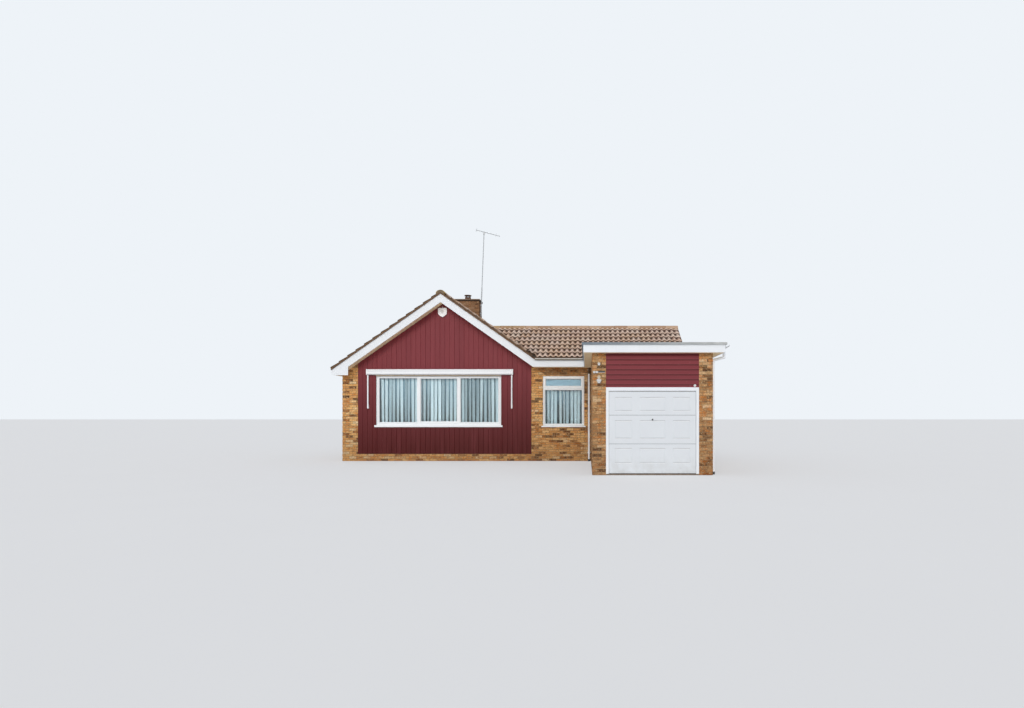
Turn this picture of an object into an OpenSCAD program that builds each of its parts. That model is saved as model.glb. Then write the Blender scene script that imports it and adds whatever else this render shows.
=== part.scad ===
// Detached bungalow with a gabled front block, a lower link wing and a flat-roofed garage.
// X runs to the right along the front, Y to the back, Z up from the ground. Millimetres.

/* [Plan] */
// Width of the gabled block
front_w = 6480; // [5600:10:7600]
// Length of the gabled block, front to back
front_len = 8600; // [7000:10:10000]
// Width of the brick front between the gabled block and the garage
link_w = 1500; // [1440:10:2200]
// Depth of the link wing behind the garage
link_len = 3340; // [2900:10:4200]
// Outer width of the garage
garage_w = 2950; // [2850:10:3400]
// Distance from the garage front to the house front
garage_len = 4930; // [4200:10:6000]
// Thickness of the house cavity walls
wall_t = 275; // [250:5:320]
// Thickness of the garage side walls
garage_wall_t = 215; // [200:5:250]
// Depth of the brick piers beside the garage door
pier_d = 327; // [250:1:400]
// Height of the house floor above the ground
floor_z = 300; // [200:10:400]
// Thickness of the house floor
floor_t = 150; // [100:10:200]
// Thickness of the garage floor
garage_floor_t = 33; // [20:1:34]

/* [Main roof] */
// Pitch of the gabled block's roof in degrees
main_pitch = 35; // [32:0.5:38]
// Height of the gabled block's eaves boards
eaves_board_h = 225; // [200:1:240]
// Vertical thickness of the tiles and battens
tile_t = 50; // [40:1:60]
// Distance that the tiles reach past the gable walls
verge_out = 470; // [400:5:520]
// Depth of a bargeboard, square to the slope
barge_d = 220; // [180:5:250]
// Thickness of fascia boards and bargeboards
board_t = 22; // [18:1:26]
// Distance of the bargeboard behind the edge of the tiles
barge_in = 40; // [30:1:60]
// Height of the underside of the gabled block's eaves
main_eaves_z = 2728; // [2650:1:2780]
// Distance from the wall to the face of the eaves board
eaves_out = 107; // [95:1:120]
// Distance that the tiles reach past the eaves board
tile_nose = 90; // [80:1:100]
// Width of the foot of a bargeboard, inwards from the wall's corner
foot_w = 330; // [280:5:360]
// Distance that the foot of a bargeboard reaches past the wall's corner
foot_out = 190; // [175:1:190]
// Thickness of the eaves boarding
soffit_t = 12; // [9:1:18]
// Radius of the ridge tiles
ridge_r = 112; // [100:1:125]
// Height of the mortar bed under the ridge tiles
ridge_bed = 26; // [10:1:40]

/* [Link roof] */
// Pitch of the link roof in degrees
link_pitch = 29; // [27:0.5:31]
// Height where the two link slopes meet
link_apex_z = 4485; // [4400:1:4560]
// Distance from the wall to the face of the link eaves board
link_eaves_out = 430; // [400:1:460]
// Height of the underside of the link and garage eaves
link_eaves_z = 2995; // [2960:1:3020]
// Distance that the link tiles reach past the right gable
link_verge_out = 60; // [40:1:90]

/* [Garage roof] */
// Distance that the flat roof reaches past the garage front
flat_front_out = 220; // [180:1:260]
// Distance that the flat roof reaches past the left wall
flat_left_out = 223; // [200:1:260]
// Distance that the flat roof reaches past the right wall
flat_right_out = 267; // [230:1:300]
// Height of the flat roof's white board
flat_board_h = 185; // [165:1:195]
// Height of the grey edge trim above the board
trim_h = 58; // [45:1:70]
// Distance that the trim stands out from the board
trim_out = 40; // [25:1:50]
// Height of the ceiling joists
joist_h = 130; // [110:1:140]
// Thickness of the flat roof deck
deck_t = 60; // [40:1:62]
// Number of ceiling joists
joists = 10; // [8:1:12]

/* [Garage door] */
// Width between the posts of the door frame
door_w = 2144; // [2050:2:2200]
// Height of the door leaf
leaf_h = 2012; // [1950:2:2030]
// Gap between the leaf and each post
leaf_gap = 6; // [5:0.5:9]
// Gap below the leaf
leaf_sill_gap = 12; // [8:1:20]
// Gap above the leaf
leaf_head_gap = 12; // [10:1:20]
// Width of the door posts
post_w = 70; // [60:1:80]
// Depth of the door posts
post_d = 70; // [60:1:80]
// Height of the frame's head
head_h = 88; // [70:1:95]
// Distance of the leaf behind the face of the posts
leaf_set = 12; // [8:1:20]
// Thickness of the leaf's sheet and rails
leaf_t = 34; // [28:1:40]
// Thickness of the leaf's pressed sheet
sheet_t = 8; // [7:1:10]
// Width of the rails round the back of the leaf
rail_w = 45; // [35:1:60]
// Depth of the pressed panels
panel_d = 4.5; // [3:0.5:6]
// Width of the sloping margins round each raised field
panel_slope = 22; // [18:1:30]
// Width of the side panels
side_panel_w = 432; // [400:2:440]
// Width of the middle panels
mid_panel_w = 642; // [600:2:680]
// Distance of the side panels from the edges of the leaf
panel_edge = 136; // [120:2:150]
// Length of the lifting arms between their pivots
arm_len = 670; // [600:5:700]
// Width of the lifting arms
arm_w = 30; // [24:1:36]
// Thickness of the lifting arms
arm_t = 6; // [5:0.5:8]
// Distance of the upper pivots below the top of the leaf
pivot_drop = 70; // [60:1:90]
// Distance of the pivot line behind the posts
pivot_back = 28; // [26:1:34]
// Diameter of the pivot pins
pin_d = 12; // [10:1:14]
// Diameter of the guide rollers
roller_d = 36; // [30:1:38]

/* [Windows] */
// Left edge of the wide window from the left wall
wide_x = 1076; // [1000:2:1200]
// Width of the wide window
wide_w = 4016; // [3800:2:4100]
// Height of the wide window's head above the ground
wide_head_z = 2756; // [2700:1:2780]
// Height of the window sills above the ground
sill_z = 1150; // [1100:1:1200]
// Width of a small window
small_w = 1326; // [1200:2:1360]
// Gap between the garage wall and the small front window
small_gap = 223; // [180:1:300]
// Height of the small windows' heads above the ground
small_head_z = 2728; // [2650:1:2730]
// Width of the wide window's frame members, sashes included
frame_w = 95; // [70:1:110]
// Width of the small windows' frame members
small_frame_w = 65; // [50:1:80]
// Visible width of the sash round a top light
sash_w = 30; // [20:1:40]
// Height between a top light's glass and the glass below it
transom_h = 130; // [100:1:150]
// Depth of the window frames
frame_d = 70; // [60:1:80]
// Distance of the frames behind the wall face
frame_set = 30; // [20:1:60]
// Height of the wide window's projecting sill
sill_h = 60; // [45:1:70]
// Height of the small windows' projecting sills
small_sill_h = 40; // [30:1:60]
// Distance that the sills stand out from the wall
sill_out = 45; // [30:1:60]
// Thickness of the glazing
glass_t = 24; // [20:1:28]
// Height of the small windows' top lights between frame members
vent_h = 222; // [180:1:260]
// Width of one blind vane
vane_w = 89; // [70:1:100]
// Thickness of one blind vane
vane_t = 3; // [2:0.5:4]

/* [Cladding] */
// Thickness of the vertical boarding
clad_t = 30; // [25:1:40]
// Width of the brick pier at the left of the boarding
corner_w = 495; // [400:5:600]
// Width of the brickwork at the right of the boarding
clad_end_w = 419; // [350:1:500]
// Height of the foot of the boarding
clad_foot_z = 230; // [150:5:300]
// Thickness of the boards above the garage door
shiplap_t = 22; // [18:1:26]
// Cover height of the boards above the garage door
shiplap_h = 122.5; // [110:0.5:130]
// Height of the cut board at their foot
shiplap_foot = 72; // [60:1:90]

/* [Fittings] */
// Width of the chimney
stack_w = 885; // [700:5:900]
// Depth of the chimney
stack_d = 665; // [500:5:700]
// Distance of the chimney behind the house front
stack_y = 3670; // [3000:10:4500]
// Height of the top of the chimney above the main ridge
stack_rise = 431; // [350:1:560]
// Thickness of the chimney's slab
cap_h = 75; // [60:1:90]
// Distance that the slab reaches past the chimney
cap_out = 32; // [25:1:50]
// Height of the aerial mast's top above the top of the chimney
mast_rise = 2580; // [2200:10:2700]
// Diameter of the aerial mast's upper length
mast_d = 32; // [30:1:40]
// Diameter of its lower length
mast_foot_d = 44; // [42:1:50]
// Lean of the mast to the right in degrees
mast_lean = 2.2; // [0:0.1:2.4]
// Radius of the half-round gutters
gutter_r = 56; // [50:1:60]
// Diameter of the downpipes
pipe_d = 68; // [60:1:75]
// Width of the awning case
awning_w = 4682; // [4400:2:4800]
// Height of the awning case
awning_h = 180; // [150:1:200]
// Depth of the awning case
awning_d = 150; // [120:1:180]
// Height of the underside of the awning case
awning_z = 2760; // [2757:1:2790]
// Height of the foot of the awning arms
awning_arm_z = 1700; // [1600:10:1900]
// Width of the alarm box
alarm_w = 280; // [240:2:300]
// Height of the alarm box
alarm_h = 294; // [280:2:330]
// Height of the upper lamp on the left pier
spot_z = 2742; // [2700:1:2780]
// Height of the bar with two small lamps below it
lamp_bar_z = 2518; // [2490:1:2560]
// Height of the round plate of the lowest lamp
bowl_plate_z = 2405; // [2395:1:2420]

/* [Hidden] */
$fn = 48;
eps = 1;
far = 20000;
// Gap left where one piece rests on another's slope
seat = 0.3;

main_tan = tan(main_pitch);
link_tan = tan(link_pitch);
// Height where the two main slopes meet
main_apex_z = main_eaves_z + eaves_board_h + tile_t + seat
    + main_tan * (front_w / 2 + eaves_out);
// Places along X, from the left wall's outer face
ridge_x = front_w / 2;
garage_x = front_w + link_w;
right_x = garage_x + garage_w;
clad_x1 = front_w - clad_end_w;
// Where the gabled front ends and the link front begins
split_x = front_w - wall_t;
// Places along Y, from the garage front
front_y = garage_len;
rear_y = front_y + front_len;
link_rear_y = front_y + link_len;
link_ridge_y = front_y + link_len / 2;
verge_front_y = front_y - verge_out;
verge_rear_y = rear_y + verge_out;
barge_front_y = verge_front_y + barge_in;
barge_rear_y = verge_rear_y - barge_in;
link_board_front_y = front_y - link_eaves_out;
link_board_rear_y = link_rear_y + link_eaves_out;
link_nose_front_y = link_board_front_y - tile_nose;
link_nose_rear_y = link_board_rear_y + tile_nose;
link_verge_x = right_x + link_verge_out;
board_left_x = -eaves_out;
board_right_x = front_w + eaves_out;
nose_left_x = board_left_x - tile_nose;
nose_right_x = board_right_x + tile_nose;
// Flat roof outline, to the faces of its boards
flat_x0 = garage_x - flat_left_out;
flat_x1 = right_x + flat_right_out;
flat_y0 = -flat_front_out;
flat_y1 = link_board_front_y;
flat_board_z = link_eaves_z + flat_board_h;
flat_top_z = flat_board_z + trim_h;
joist_z = link_eaves_z + soffit_t;
deck_z = joist_z + joist_h;
trim_y1 = link_nose_front_y - 6;
// Gutters hang a bracket's width off the boards
gutter_gap = 4;
gutter_t = 3;
gutter_off = gutter_gap + gutter_r;
rim_drop = 16;
main_rim_z = main_z(nose_left_x) - rim_drop;
link_rim_z = link_z(link_nose_front_y) - rim_drop;
flat_rim_z = flat_board_z - 10;
// Distance of a downpipe's middle from the wall
pipe_off = pipe_d / 2 + 25;
// Whole outline, from the entrance step to the right gutter, which sets the origin
step_out = 300;
min_x = -step_out;
max_x = flat_x1 + gutter_gap + 2 * gutter_r;
min_y = flat_y0 - trim_out;
max_y = verge_rear_y;
origin_x = (min_x + max_x) / 2;
origin_y = (min_y + max_y) / 2;

// Bargeboards, the boxed foot at their eaves and the boarding behind them
barge_deep = barge_d / cos(main_pitch);
barge_lip = 25;
verge_drop = tile_t + barge_deep - barge_lip;
link_soffit_x0 = ridge_x + (main_apex_z - tile_t - barge_deep - link_eaves_z) / main_tan;
barge_foot_x = link_soffit_x0;
// Where the boarding under the verges comes down to the eaves boarding
verge_foot_x = ridge_x - (main_apex_z - verge_drop - main_eaves_z - soffit_t - seat) / main_tan;
verge_end_x = ridge_x + (main_apex_z - verge_drop - link_eaves_z - soffit_t - seat) / main_tan;
link_end_x = link_verge_x - 10;

// Garage door
pier_w = (garage_w - door_w - 2 * post_w) / 2;
frame_x0 = garage_x + pier_w;
frame_x1 = right_x - pier_w;
opening_x0 = frame_x0 + post_w;
opening_x1 = frame_x1 - post_w;
leaf_x0 = opening_x0 + leaf_gap;
leaf_x1 = opening_x1 - leaf_gap;
leaf_w = leaf_x1 - leaf_x0;
leaf_z = garage_floor_t + leaf_sill_gap;
leaf_top_z = leaf_z + leaf_h;
head_z = leaf_top_z + leaf_head_gap;
frame_top_z = head_z + head_h;
leaf_y = leaf_set;
leaf_back_y = leaf_y + leaf_t;
pivot_y = post_d + pivot_back;
arm_pivot_z = leaf_top_z - pivot_drop;
leaf_pivot_z = arm_pivot_z - arm_len;
roller_z = arm_pivot_z - 2 * arm_len;
track_t = 3;
// Distance of an arm's inner face from the pier
arm_x0 = 50;
// Guide angles, behind the rollers
guide_gap = 6;
guide_leg = 40;
guide_y = pivot_y + roller_d / 2 + guide_gap;

// Windows
small_x = garage_x - small_gap - small_w;
wide_h = wide_head_z - sill_z;
small_sill_z = sill_z - sill_h + small_sill_h;
small_h = small_head_z - small_sill_z;
// Foot of the wall openings, under the sills
hole_z = sill_z - sill_h;
glass_y = (frame_d - glass_t) / 2;
side_window_y1 = front_y + 1720;
side_window_y2 = rear_y - 1082 - small_w;
entrance_w = 926;
entrance_h = 2100;
entrance_y = (side_window_y1 + side_window_y2 + small_w - entrance_w) / 2;
link_window_y = link_ridge_y - small_w / 2;
right_window_y = (link_rear_y + rear_y) / 2 - small_w / 2;
link_rear_window_x = (front_w + right_x) / 2 - small_w / 2;
rear_window_off = 1490;
rear_window_x1 = ridge_x - rear_window_off - small_w / 2;
rear_window_x2 = ridge_x + rear_window_off - small_w / 2;

// Chimney, aerial and awning
stack_off = 84;
stack_x0 = ridge_x + stack_off - stack_w / 2;
stack_x1 = stack_x0 + stack_w;
stack_top_z = main_apex_z + stack_rise;
stack_y0 = front_y + stack_y;
stack_y1 = stack_y0 + stack_d;
// Middle of the mast's foot, beside the chimney
mast_y = stack_y0 + 240;
mast_foot_h = 550;
// The leaning mast just clears the edge of the slab.
mast_gap = 3;
mast_x = stack_x1 + cap_out + mast_gap + mast_foot_d / 2 - mast_foot_h * tan(mast_lean);
mast_foot_z = stack_top_z - mast_foot_h;
mast_len = (mast_rise + mast_foot_h) / cos(mast_lean);
lower_len = 1100;
awning_off = 61;
awning_x = wide_x + (wide_w - awning_w) / 2 + awning_off;

brick = [0.66, 0.46, 0.31];
chimney_brick = [0.52, 0.33, 0.24];
maroon = [0.43, 0.12, 0.14];
white = [0.93, 0.94, 0.95];
beige = [0.72, 0.62, 0.50];
tile_brown = [0.52, 0.42, 0.37];
grey = [0.55, 0.56, 0.55];
steel = [0.70, 0.72, 0.74];
concrete = [0.62, 0.60, 0.57];

// Height of the upper surface of each roof
function main_z(x) = main_apex_z - main_tan * abs(x - ridge_x);
function link_z(y) = link_apex_z - link_tan * abs(y - link_ridge_y);
// Where the link roof's surface at y runs into the main right slope
function valley_x(y) = ridge_x + (main_apex_z - link_z(y)) / main_tan;

// Everything is drawn from the left front corner and then moved to the origin
module place() {
    translate([-origin_x, -origin_y, 0]) children();
}

module block(x0, x1, y0, y1, z0, z1) {
    translate([x0, y0, z0]) cube([x1 - x0, y1 - y0, z1 - z0]);
}

// A profile in X and Z, drawn out along Y
module along_y(y0, y1) {
    translate([0, y1, 0]) rotate([90, 0, 0]) linear_extrude(height = y1 - y0) children();
}

// A profile in Y and Z, drawn out along X
module along_x(x0, x1) {
    translate([x0, 0, 0]) rotate([90, 0, 90]) linear_extrude(height = x1 - x0) children();
}

// A profile in X and Y, drawn out upwards
module upwards(z0, z1) {
    translate([0, 0, z0]) linear_extrude(height = z1 - z0) children();
}

// The space under the roof tiles, which the walls fill up to
module under_roofs() {
    along_y(front_y, rear_y)
        polygon([[nose_left_x, 0], [nose_right_x, 0],
            [nose_right_x, main_z(nose_right_x) - tile_t - seat],
            [ridge_x, main_apex_z - tile_t - seat],
            [nose_left_x, main_z(nose_left_x) - tile_t - seat]]);
    along_x(valley_x(link_ridge_y), right_x)
        polygon([[link_board_front_y, 0], [link_board_rear_y, 0],
            [link_board_rear_y, link_z(link_board_rear_y) - tile_t - seat],
            [link_ridge_y, link_apex_z - tile_t - seat],
            [link_board_front_y, link_z(link_board_front_y) - tile_t - seat]]);
}

// A wall from the ground up to the tiles
module tall_wall(x0, x1, y0, y1) {
    intersection() {
        block(x0, x1, y0, y1, 0, main_apex_z);
        under_roofs();
    }
}

module left_wall() {
    place() color(brick) difference() {
        tall_wall(0, wall_t, front_y + wall_t, rear_y - wall_t);
        for (y = [side_window_y1, side_window_y2])
            block(-eps, wall_t + eps, y, y + small_w, hole_z, small_head_z);
        block(-eps, wall_t + eps, entrance_y, entrance_y + entrance_w, floor_z, floor_z + entrance_h);
    }
}

// Front of the gabled block, set back where the boarding covers it
module front_wall() {
    place() color(brick) difference() {
        tall_wall(0, split_x, front_y, front_y + wall_t);
        block(corner_w, clad_x1, front_y - eps, front_y + clad_t, clad_foot_z, main_apex_z);
        block(wide_x, wide_x + wide_w, front_y - eps, front_y + wall_t + eps, hole_z, wide_head_z);
    }
}

module gable_cladding() {
    place() color(maroon) difference() {
        intersection() {
            block(corner_w, clad_x1, front_y, front_y + clad_t, clad_foot_z, main_apex_z);
            under_roofs();
        }
        block(wide_x, wide_x + wide_w, front_y - eps, front_y + clad_t + eps,
            hole_z, wide_head_z);
    }
}

// Brick front of the link, which runs on as the back wall of the garage
module link_front_wall() {
    place() color(brick) difference() {
        tall_wall(split_x, right_x, front_y, front_y + wall_t);
        block(small_x, small_x + small_w, front_y - eps, front_y + wall_t + eps, hole_z, small_head_z);
    }
}

module rear_wall() {
    place() color(brick) difference() {
        tall_wall(0, front_w, rear_y - wall_t, rear_y);
        for (x = [rear_window_x1, rear_window_x2])
            block(x, x + small_w, rear_y - wall_t - eps, rear_y + eps, hole_z, small_head_z);
    }
}

module right_rear_wall() {
    place() color(brick) difference() {
        tall_wall(front_w - wall_t, front_w, link_rear_y - wall_t, rear_y - wall_t);
        block(front_w - wall_t - eps, front_w + eps, right_window_y, right_window_y + small_w,
            hole_z, small_head_z);
    }
}

module link_rear_wall() {
    place() color(brick) difference() {
        tall_wall(front_w, right_x - wall_t, link_rear_y - wall_t, link_rear_y);
        block(link_rear_window_x, link_rear_window_x + small_w,
            link_rear_y - wall_t - eps, link_rear_y + eps, hole_z, small_head_z);
    }
}

module link_right_wall() {
    place() color(brick) difference() {
        tall_wall(right_x - wall_t, right_x, front_y + wall_t, link_rear_y);
        block(right_x - wall_t - eps, right_x + eps, link_window_y, link_window_y + small_w,
            hole_z, small_head_z);
    }
}

module garage_left_wall() {
    place() color(brick) block(garage_x, garage_x + garage_wall_t, pier_d, front_y, 0, joist_z);
}

module garage_right_wall() {
    place() color(brick) block(right_x - garage_wall_t, right_x, pier_d, front_y, 0, joist_z);
}

module garage_left_pier() {
    place() color(brick) block(garage_x, frame_x0, 0, pier_d, 0, joist_z);
}

module garage_right_pier() {
    place() color(brick) block(frame_x1, right_x, 0, pier_d, 0, joist_z);
}

// Beam that carries the flat roof over the garage door
module garage_beam() {
    place() color(beige) block(frame_x0, frame_x1, shiplap_t, pier_d, frame_top_z, joist_z);
}

// Lapped boards over the garage door, each with a hollow at its top under the foot of the next
module shiplap_panel() {
    laps = floor((link_eaves_z - frame_top_z - shiplap_foot) / shiplap_h);
    hollow_h = 34;
    hollow_d = 9;
    lip = 4;
    place() color(maroon) along_x(frame_x0, frame_x1) difference() {
        translate([0, frame_top_z]) square([shiplap_t, link_eaves_z - frame_top_z]);
        for (i = [0:laps]) translate([0, frame_top_z + shiplap_foot + i * shiplap_h])
            polygon([[-eps, 0], [hollow_d, 0], [hollow_d, -lip], [0, -hollow_h], [-eps, -hollow_h]]);
    }
}

module house_floor() {
    place() color(concrete) upwards(floor_z - floor_t, floor_z)
        polygon([[wall_t, front_y + wall_t], [right_x - wall_t, front_y + wall_t],
            [right_x - wall_t, link_rear_y - wall_t], [front_w - wall_t, link_rear_y - wall_t],
            [front_w - wall_t, rear_y - wall_t], [wall_t, rear_y - wall_t]]);
}

module garage_floor() {
    place() color(concrete) upwards(0, garage_floor_t)
        polygon([[frame_x0, 0], [frame_x1, 0], [frame_x1, pier_d],
            [right_x - garage_wall_t, pier_d], [right_x - garage_wall_t, front_y],
            [garage_x + garage_wall_t, front_y], [garage_x + garage_wall_t, pier_d],
            [frame_x0, pier_d]]);
}

// Solid step outside the entrance
module door_step() {
    step_side = 100;
    place() color(concrete) block(-step_out, 0, entrance_y - step_side,
        entrance_y + entrance_w + step_side, 0, floor_z / 2);
}

// One sloping layer of tiles, cut to its outline seen from above
module main_slope(side) {
    along_y(verge_front_y, verge_rear_y)
        polygon([[ridge_x, main_apex_z],
            [side < 0 ? nose_left_x : nose_right_x, main_z(nose_right_x)],
            [side < 0 ? nose_left_x : nose_right_x, main_z(nose_right_x) - tile_t],
            [ridge_x, main_apex_z - tile_t]]);
}

module main_roof_left() {
    place() color(tile_brown) main_slope(-1);
}

// The right slope stops at the two valleys of the link roof
module main_roof_right() {
    place() color(tile_brown) intersection() {
        main_slope(1);
        upwards(0, far)
            polygon([[ridge_x, verge_front_y], [valley_x(link_nose_front_y), verge_front_y],
                [valley_x(link_nose_front_y), link_nose_front_y],
                [valley_x(link_ridge_y), link_ridge_y],
                [valley_x(link_board_rear_y), link_board_rear_y],
                [nose_right_x, link_board_rear_y], [nose_right_x, verge_rear_y],
                [ridge_x, verge_rear_y]]);
    }
}

module link_slope(nose_y) {
    along_x(ridge_x, link_verge_x)
        polygon([[link_ridge_y, link_apex_z], [nose_y, link_z(nose_y)],
            [nose_y, link_z(nose_y) - tile_t], [link_ridge_y, link_apex_z - tile_t]]);
}

module link_roof_front() {
    place() color(tile_brown) intersection() {
        link_slope(link_nose_front_y);
        upwards(0, far)
            polygon([[valley_x(link_nose_front_y), link_nose_front_y],
                [link_verge_x, link_nose_front_y], [link_verge_x, link_ridge_y],
                [valley_x(link_ridge_y), link_ridge_y]]);
    }
}

module link_roof_rear() {
    place() color(tile_brown) intersection() {
        link_slope(link_nose_rear_y);
        upwards(0, far)
            polygon([[valley_x(link_ridge_y), link_ridge_y], [link_verge_x, link_ridge_y],
                [link_verge_x, link_nose_rear_y], [nose_right_x + 40, link_nose_rear_y],
                [nose_right_x + 40, link_board_rear_y],
                [valley_x(link_board_rear_y), link_board_rear_y]]);
    }
}

// Half-round cap that sits astride two slopes of a given pitch
module ridge_cap(length, pitch) {
    sink = ridge_r * tan(pitch);
    rotate([90, 0, 0]) linear_extrude(height = length, center = true) difference() {
        translate([0, ridge_bed - sink]) {
            intersection() {
                circle(r = ridge_r);
                translate([-ridge_r, 0]) square([2 * ridge_r, ridge_r]);
            }
            translate([-ridge_r, -ridge_bed]) square([2 * ridge_r, ridge_bed]);
        }
        polygon([[0, 0], [-2 * ridge_r, -2 * ridge_r * tan(pitch)],
            [2 * ridge_r, -2 * ridge_r * tan(pitch)]]);
    }
}

module main_ridge_tiles() {
    place() color(tile_brown) difference() {
        translate([ridge_x, (verge_front_y + verge_rear_y) / 2, main_apex_z])
            ridge_cap(verge_rear_y - verge_front_y, main_pitch);
        block(stack_x0, stack_x1, stack_y0, stack_y1, 0, far);
    }
}

module link_ridge_tiles() {
    start_x = ridge_x + (main_apex_z - link_apex_z - ridge_r - ridge_bed) / main_tan;
    place() color(tile_brown) difference() {
        translate([(start_x + link_verge_x) / 2, link_ridge_y, link_apex_z])
            rotate([0, 0, 90]) ridge_cap(link_verge_x - start_x, link_pitch);
        along_y(link_ridge_y - far, link_ridge_y + far)
            polygon([[ridge_x, main_apex_z], [ridge_x, 0], [nose_right_x, 0],
                [nose_right_x, main_z(nose_right_x)]]);
    }
}

// A pair of bargeboards under the tiles of one gable. The left foot is cut level over the eaves.
// The right foot is cut the same way, or stops at the link's eaves.
module bargeboards(y0, right_level) {
    right_x1 = right_level ? front_w + foot_out : barge_foot_x;
    foot_top_z = main_z(foot_w) - tile_t - barge_deep;
    along_y(y0, y0 + board_t) difference() {
        polygon([[-foot_out, main_eaves_z], [right_x1, main_eaves_z],
            [right_x1, main_z(right_x1) - tile_t - seat], [ridge_x, main_apex_z - tile_t - seat],
            [-foot_out, main_z(-foot_out) - tile_t - seat]]);
        polygon([[foot_w, 0], [foot_w, foot_top_z],
            [ridge_x, main_apex_z - tile_t - barge_deep], [front_w - foot_w, foot_top_z],
            [front_w - foot_w, 0]]);
        if (!right_level) translate([ridge_x, 0]) square([front_w, link_eaves_z]);
    }
}

module front_bargeboards() {
    place() color(white) bargeboards(barge_front_y, false);
}

module rear_bargeboards() {
    place() color(white) bargeboards(barge_rear_y - board_t, true);
}

// Boarding that closes the underside of a gable overhang, between wall and bargeboard
module verge_strip(y0, y1, x0, x1) {
    along_y(y0, y1)
        polygon([[x0, main_z(x0) - verge_drop], [x1, main_z(x1) - verge_drop],
            [x1, main_z(x1) - verge_drop + soffit_t], [x0, main_z(x0) - verge_drop + soffit_t]]);
}

module verge_soffits() {
    front_in_y = barge_front_y + board_t;
    rear_in_y = barge_rear_y - board_t;
    place() color(beige) {
        verge_strip(front_in_y, front_y, verge_foot_x, ridge_x);
        verge_strip(front_in_y, front_y, ridge_x, verge_end_x);
        verge_strip(rear_y, rear_in_y, verge_foot_x, ridge_x);
        verge_strip(rear_y, rear_in_y, ridge_x, front_w - verge_foot_x);
    }
}

// Board that closes the end of the link's eaves at the right gable
module link_eaves_end(y0, y1) {
    along_x(link_end_x - board_t, link_end_x)
        polygon([[y0, link_eaves_z], [y1, link_eaves_z], [y1, link_z(y1) - tile_t - seat],
            [y0, link_z(y0) - tile_t - seat]]);
}

// Upright boards along the eaves
module eaves_boards() {
    front_in_y = link_board_front_y + board_t;
    rear_in_y = link_board_rear_y - board_t;
    place() color(white) {
        block(board_left_x, board_left_x + board_t, barge_front_y + board_t, barge_rear_y - board_t,
            main_eaves_z, main_z(board_left_x) - tile_t - seat);
        block(board_right_x - board_t, board_right_x, link_board_rear_y, barge_rear_y - board_t,
            main_eaves_z, main_z(board_right_x) - tile_t - seat);
        block(barge_foot_x, flat_x0, link_board_front_y, front_in_y,
            link_eaves_z, link_z(link_board_front_y) - tile_t - seat);
        block(flat_x0, link_end_x, link_board_front_y, front_in_y,
            deck_z + deck_t, link_z(link_board_front_y) - tile_t - seat);
        block(front_w, link_end_x, rear_in_y, link_board_rear_y,
            link_eaves_z, link_z(link_board_rear_y) - tile_t - seat);
        link_eaves_end(link_rear_y, rear_in_y);
        link_eaves_end(front_in_y, front_y);
    }
}

// Boarding under the eaves, between wall and upright board
module eaves_soffits() {
    front_in_y = barge_front_y + board_t;
    rear_in_y = barge_rear_y - board_t;
    place() color(beige) {
        upwards(main_eaves_z, main_eaves_z + soffit_t)
            polygon([[board_left_x + board_t, front_in_y], [verge_foot_x, front_in_y],
                [verge_foot_x, front_y], [0, front_y], [0, rear_y], [verge_foot_x, rear_y],
                [verge_foot_x, rear_in_y], [board_left_x + board_t, rear_in_y]]);
        upwards(main_eaves_z, main_eaves_z + soffit_t)
            polygon([[front_w, link_board_rear_y], [board_right_x - board_t, link_board_rear_y],
                [board_right_x - board_t, rear_in_y], [front_w - verge_foot_x, rear_in_y],
                [front_w - verge_foot_x, rear_y], [front_w, rear_y]]);
        block(link_soffit_x0, flat_x0, link_board_front_y + board_t, front_y,
            link_eaves_z, link_eaves_z + soffit_t);
        block(flat_x0, garage_x, link_board_front_y, front_y,
            link_eaves_z, link_eaves_z + soffit_t);
        block(front_w, link_end_x - board_t, link_rear_y, link_board_rear_y - board_t,
            link_eaves_z, link_eaves_z + soffit_t);
        block(right_x, link_end_x - board_t, flat_y1 + board_t, front_y,
            link_eaves_z, link_eaves_z + soffit_t);
    }
}

// Half-round gutter, its rim at z = 0 and its back at y = 0, along X
module gutter(length) {
    translate([0, -gutter_r, 0]) rotate([90, 0, 90]) linear_extrude(height = length)
        difference() {
            circle(r = gutter_r);
            circle(r = gutter_r - gutter_t);
            translate([-gutter_r - eps, 0]) square([2 * gutter_r + 2 * eps, gutter_r + eps]);
        }
}

// A gutter with its ends closed below the tiles, and brackets that hold it to its board
module gutter_run(length, brackets) {
    end_t = 4;
    tile_gap = 4;
    nose_in = 2 * gutter_r + gutter_gap - tile_nose - tile_gap;
    nose_under = gutter_r + rim_drop - tile_t - tile_gap;
    gutter(length);
    for (x = [0, length - end_t])
        translate([x, -gutter_r, 0]) rotate([90, 0, 90]) linear_extrude(height = end_t)
            intersection() {
                circle(r = gutter_r);
                translate([-gutter_r, -gutter_r]) union() {
                    square([2 * gutter_r, nose_under]);
                    square([nose_in, gutter_r]);
                }
            }
    for (i = [0:brackets - 1])
        translate([(i + 0.5) * length / brackets - 15, 0, -gutter_r * 0.7])
            cube([30, gutter_gap, gutter_r * 0.7]);
}

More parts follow.
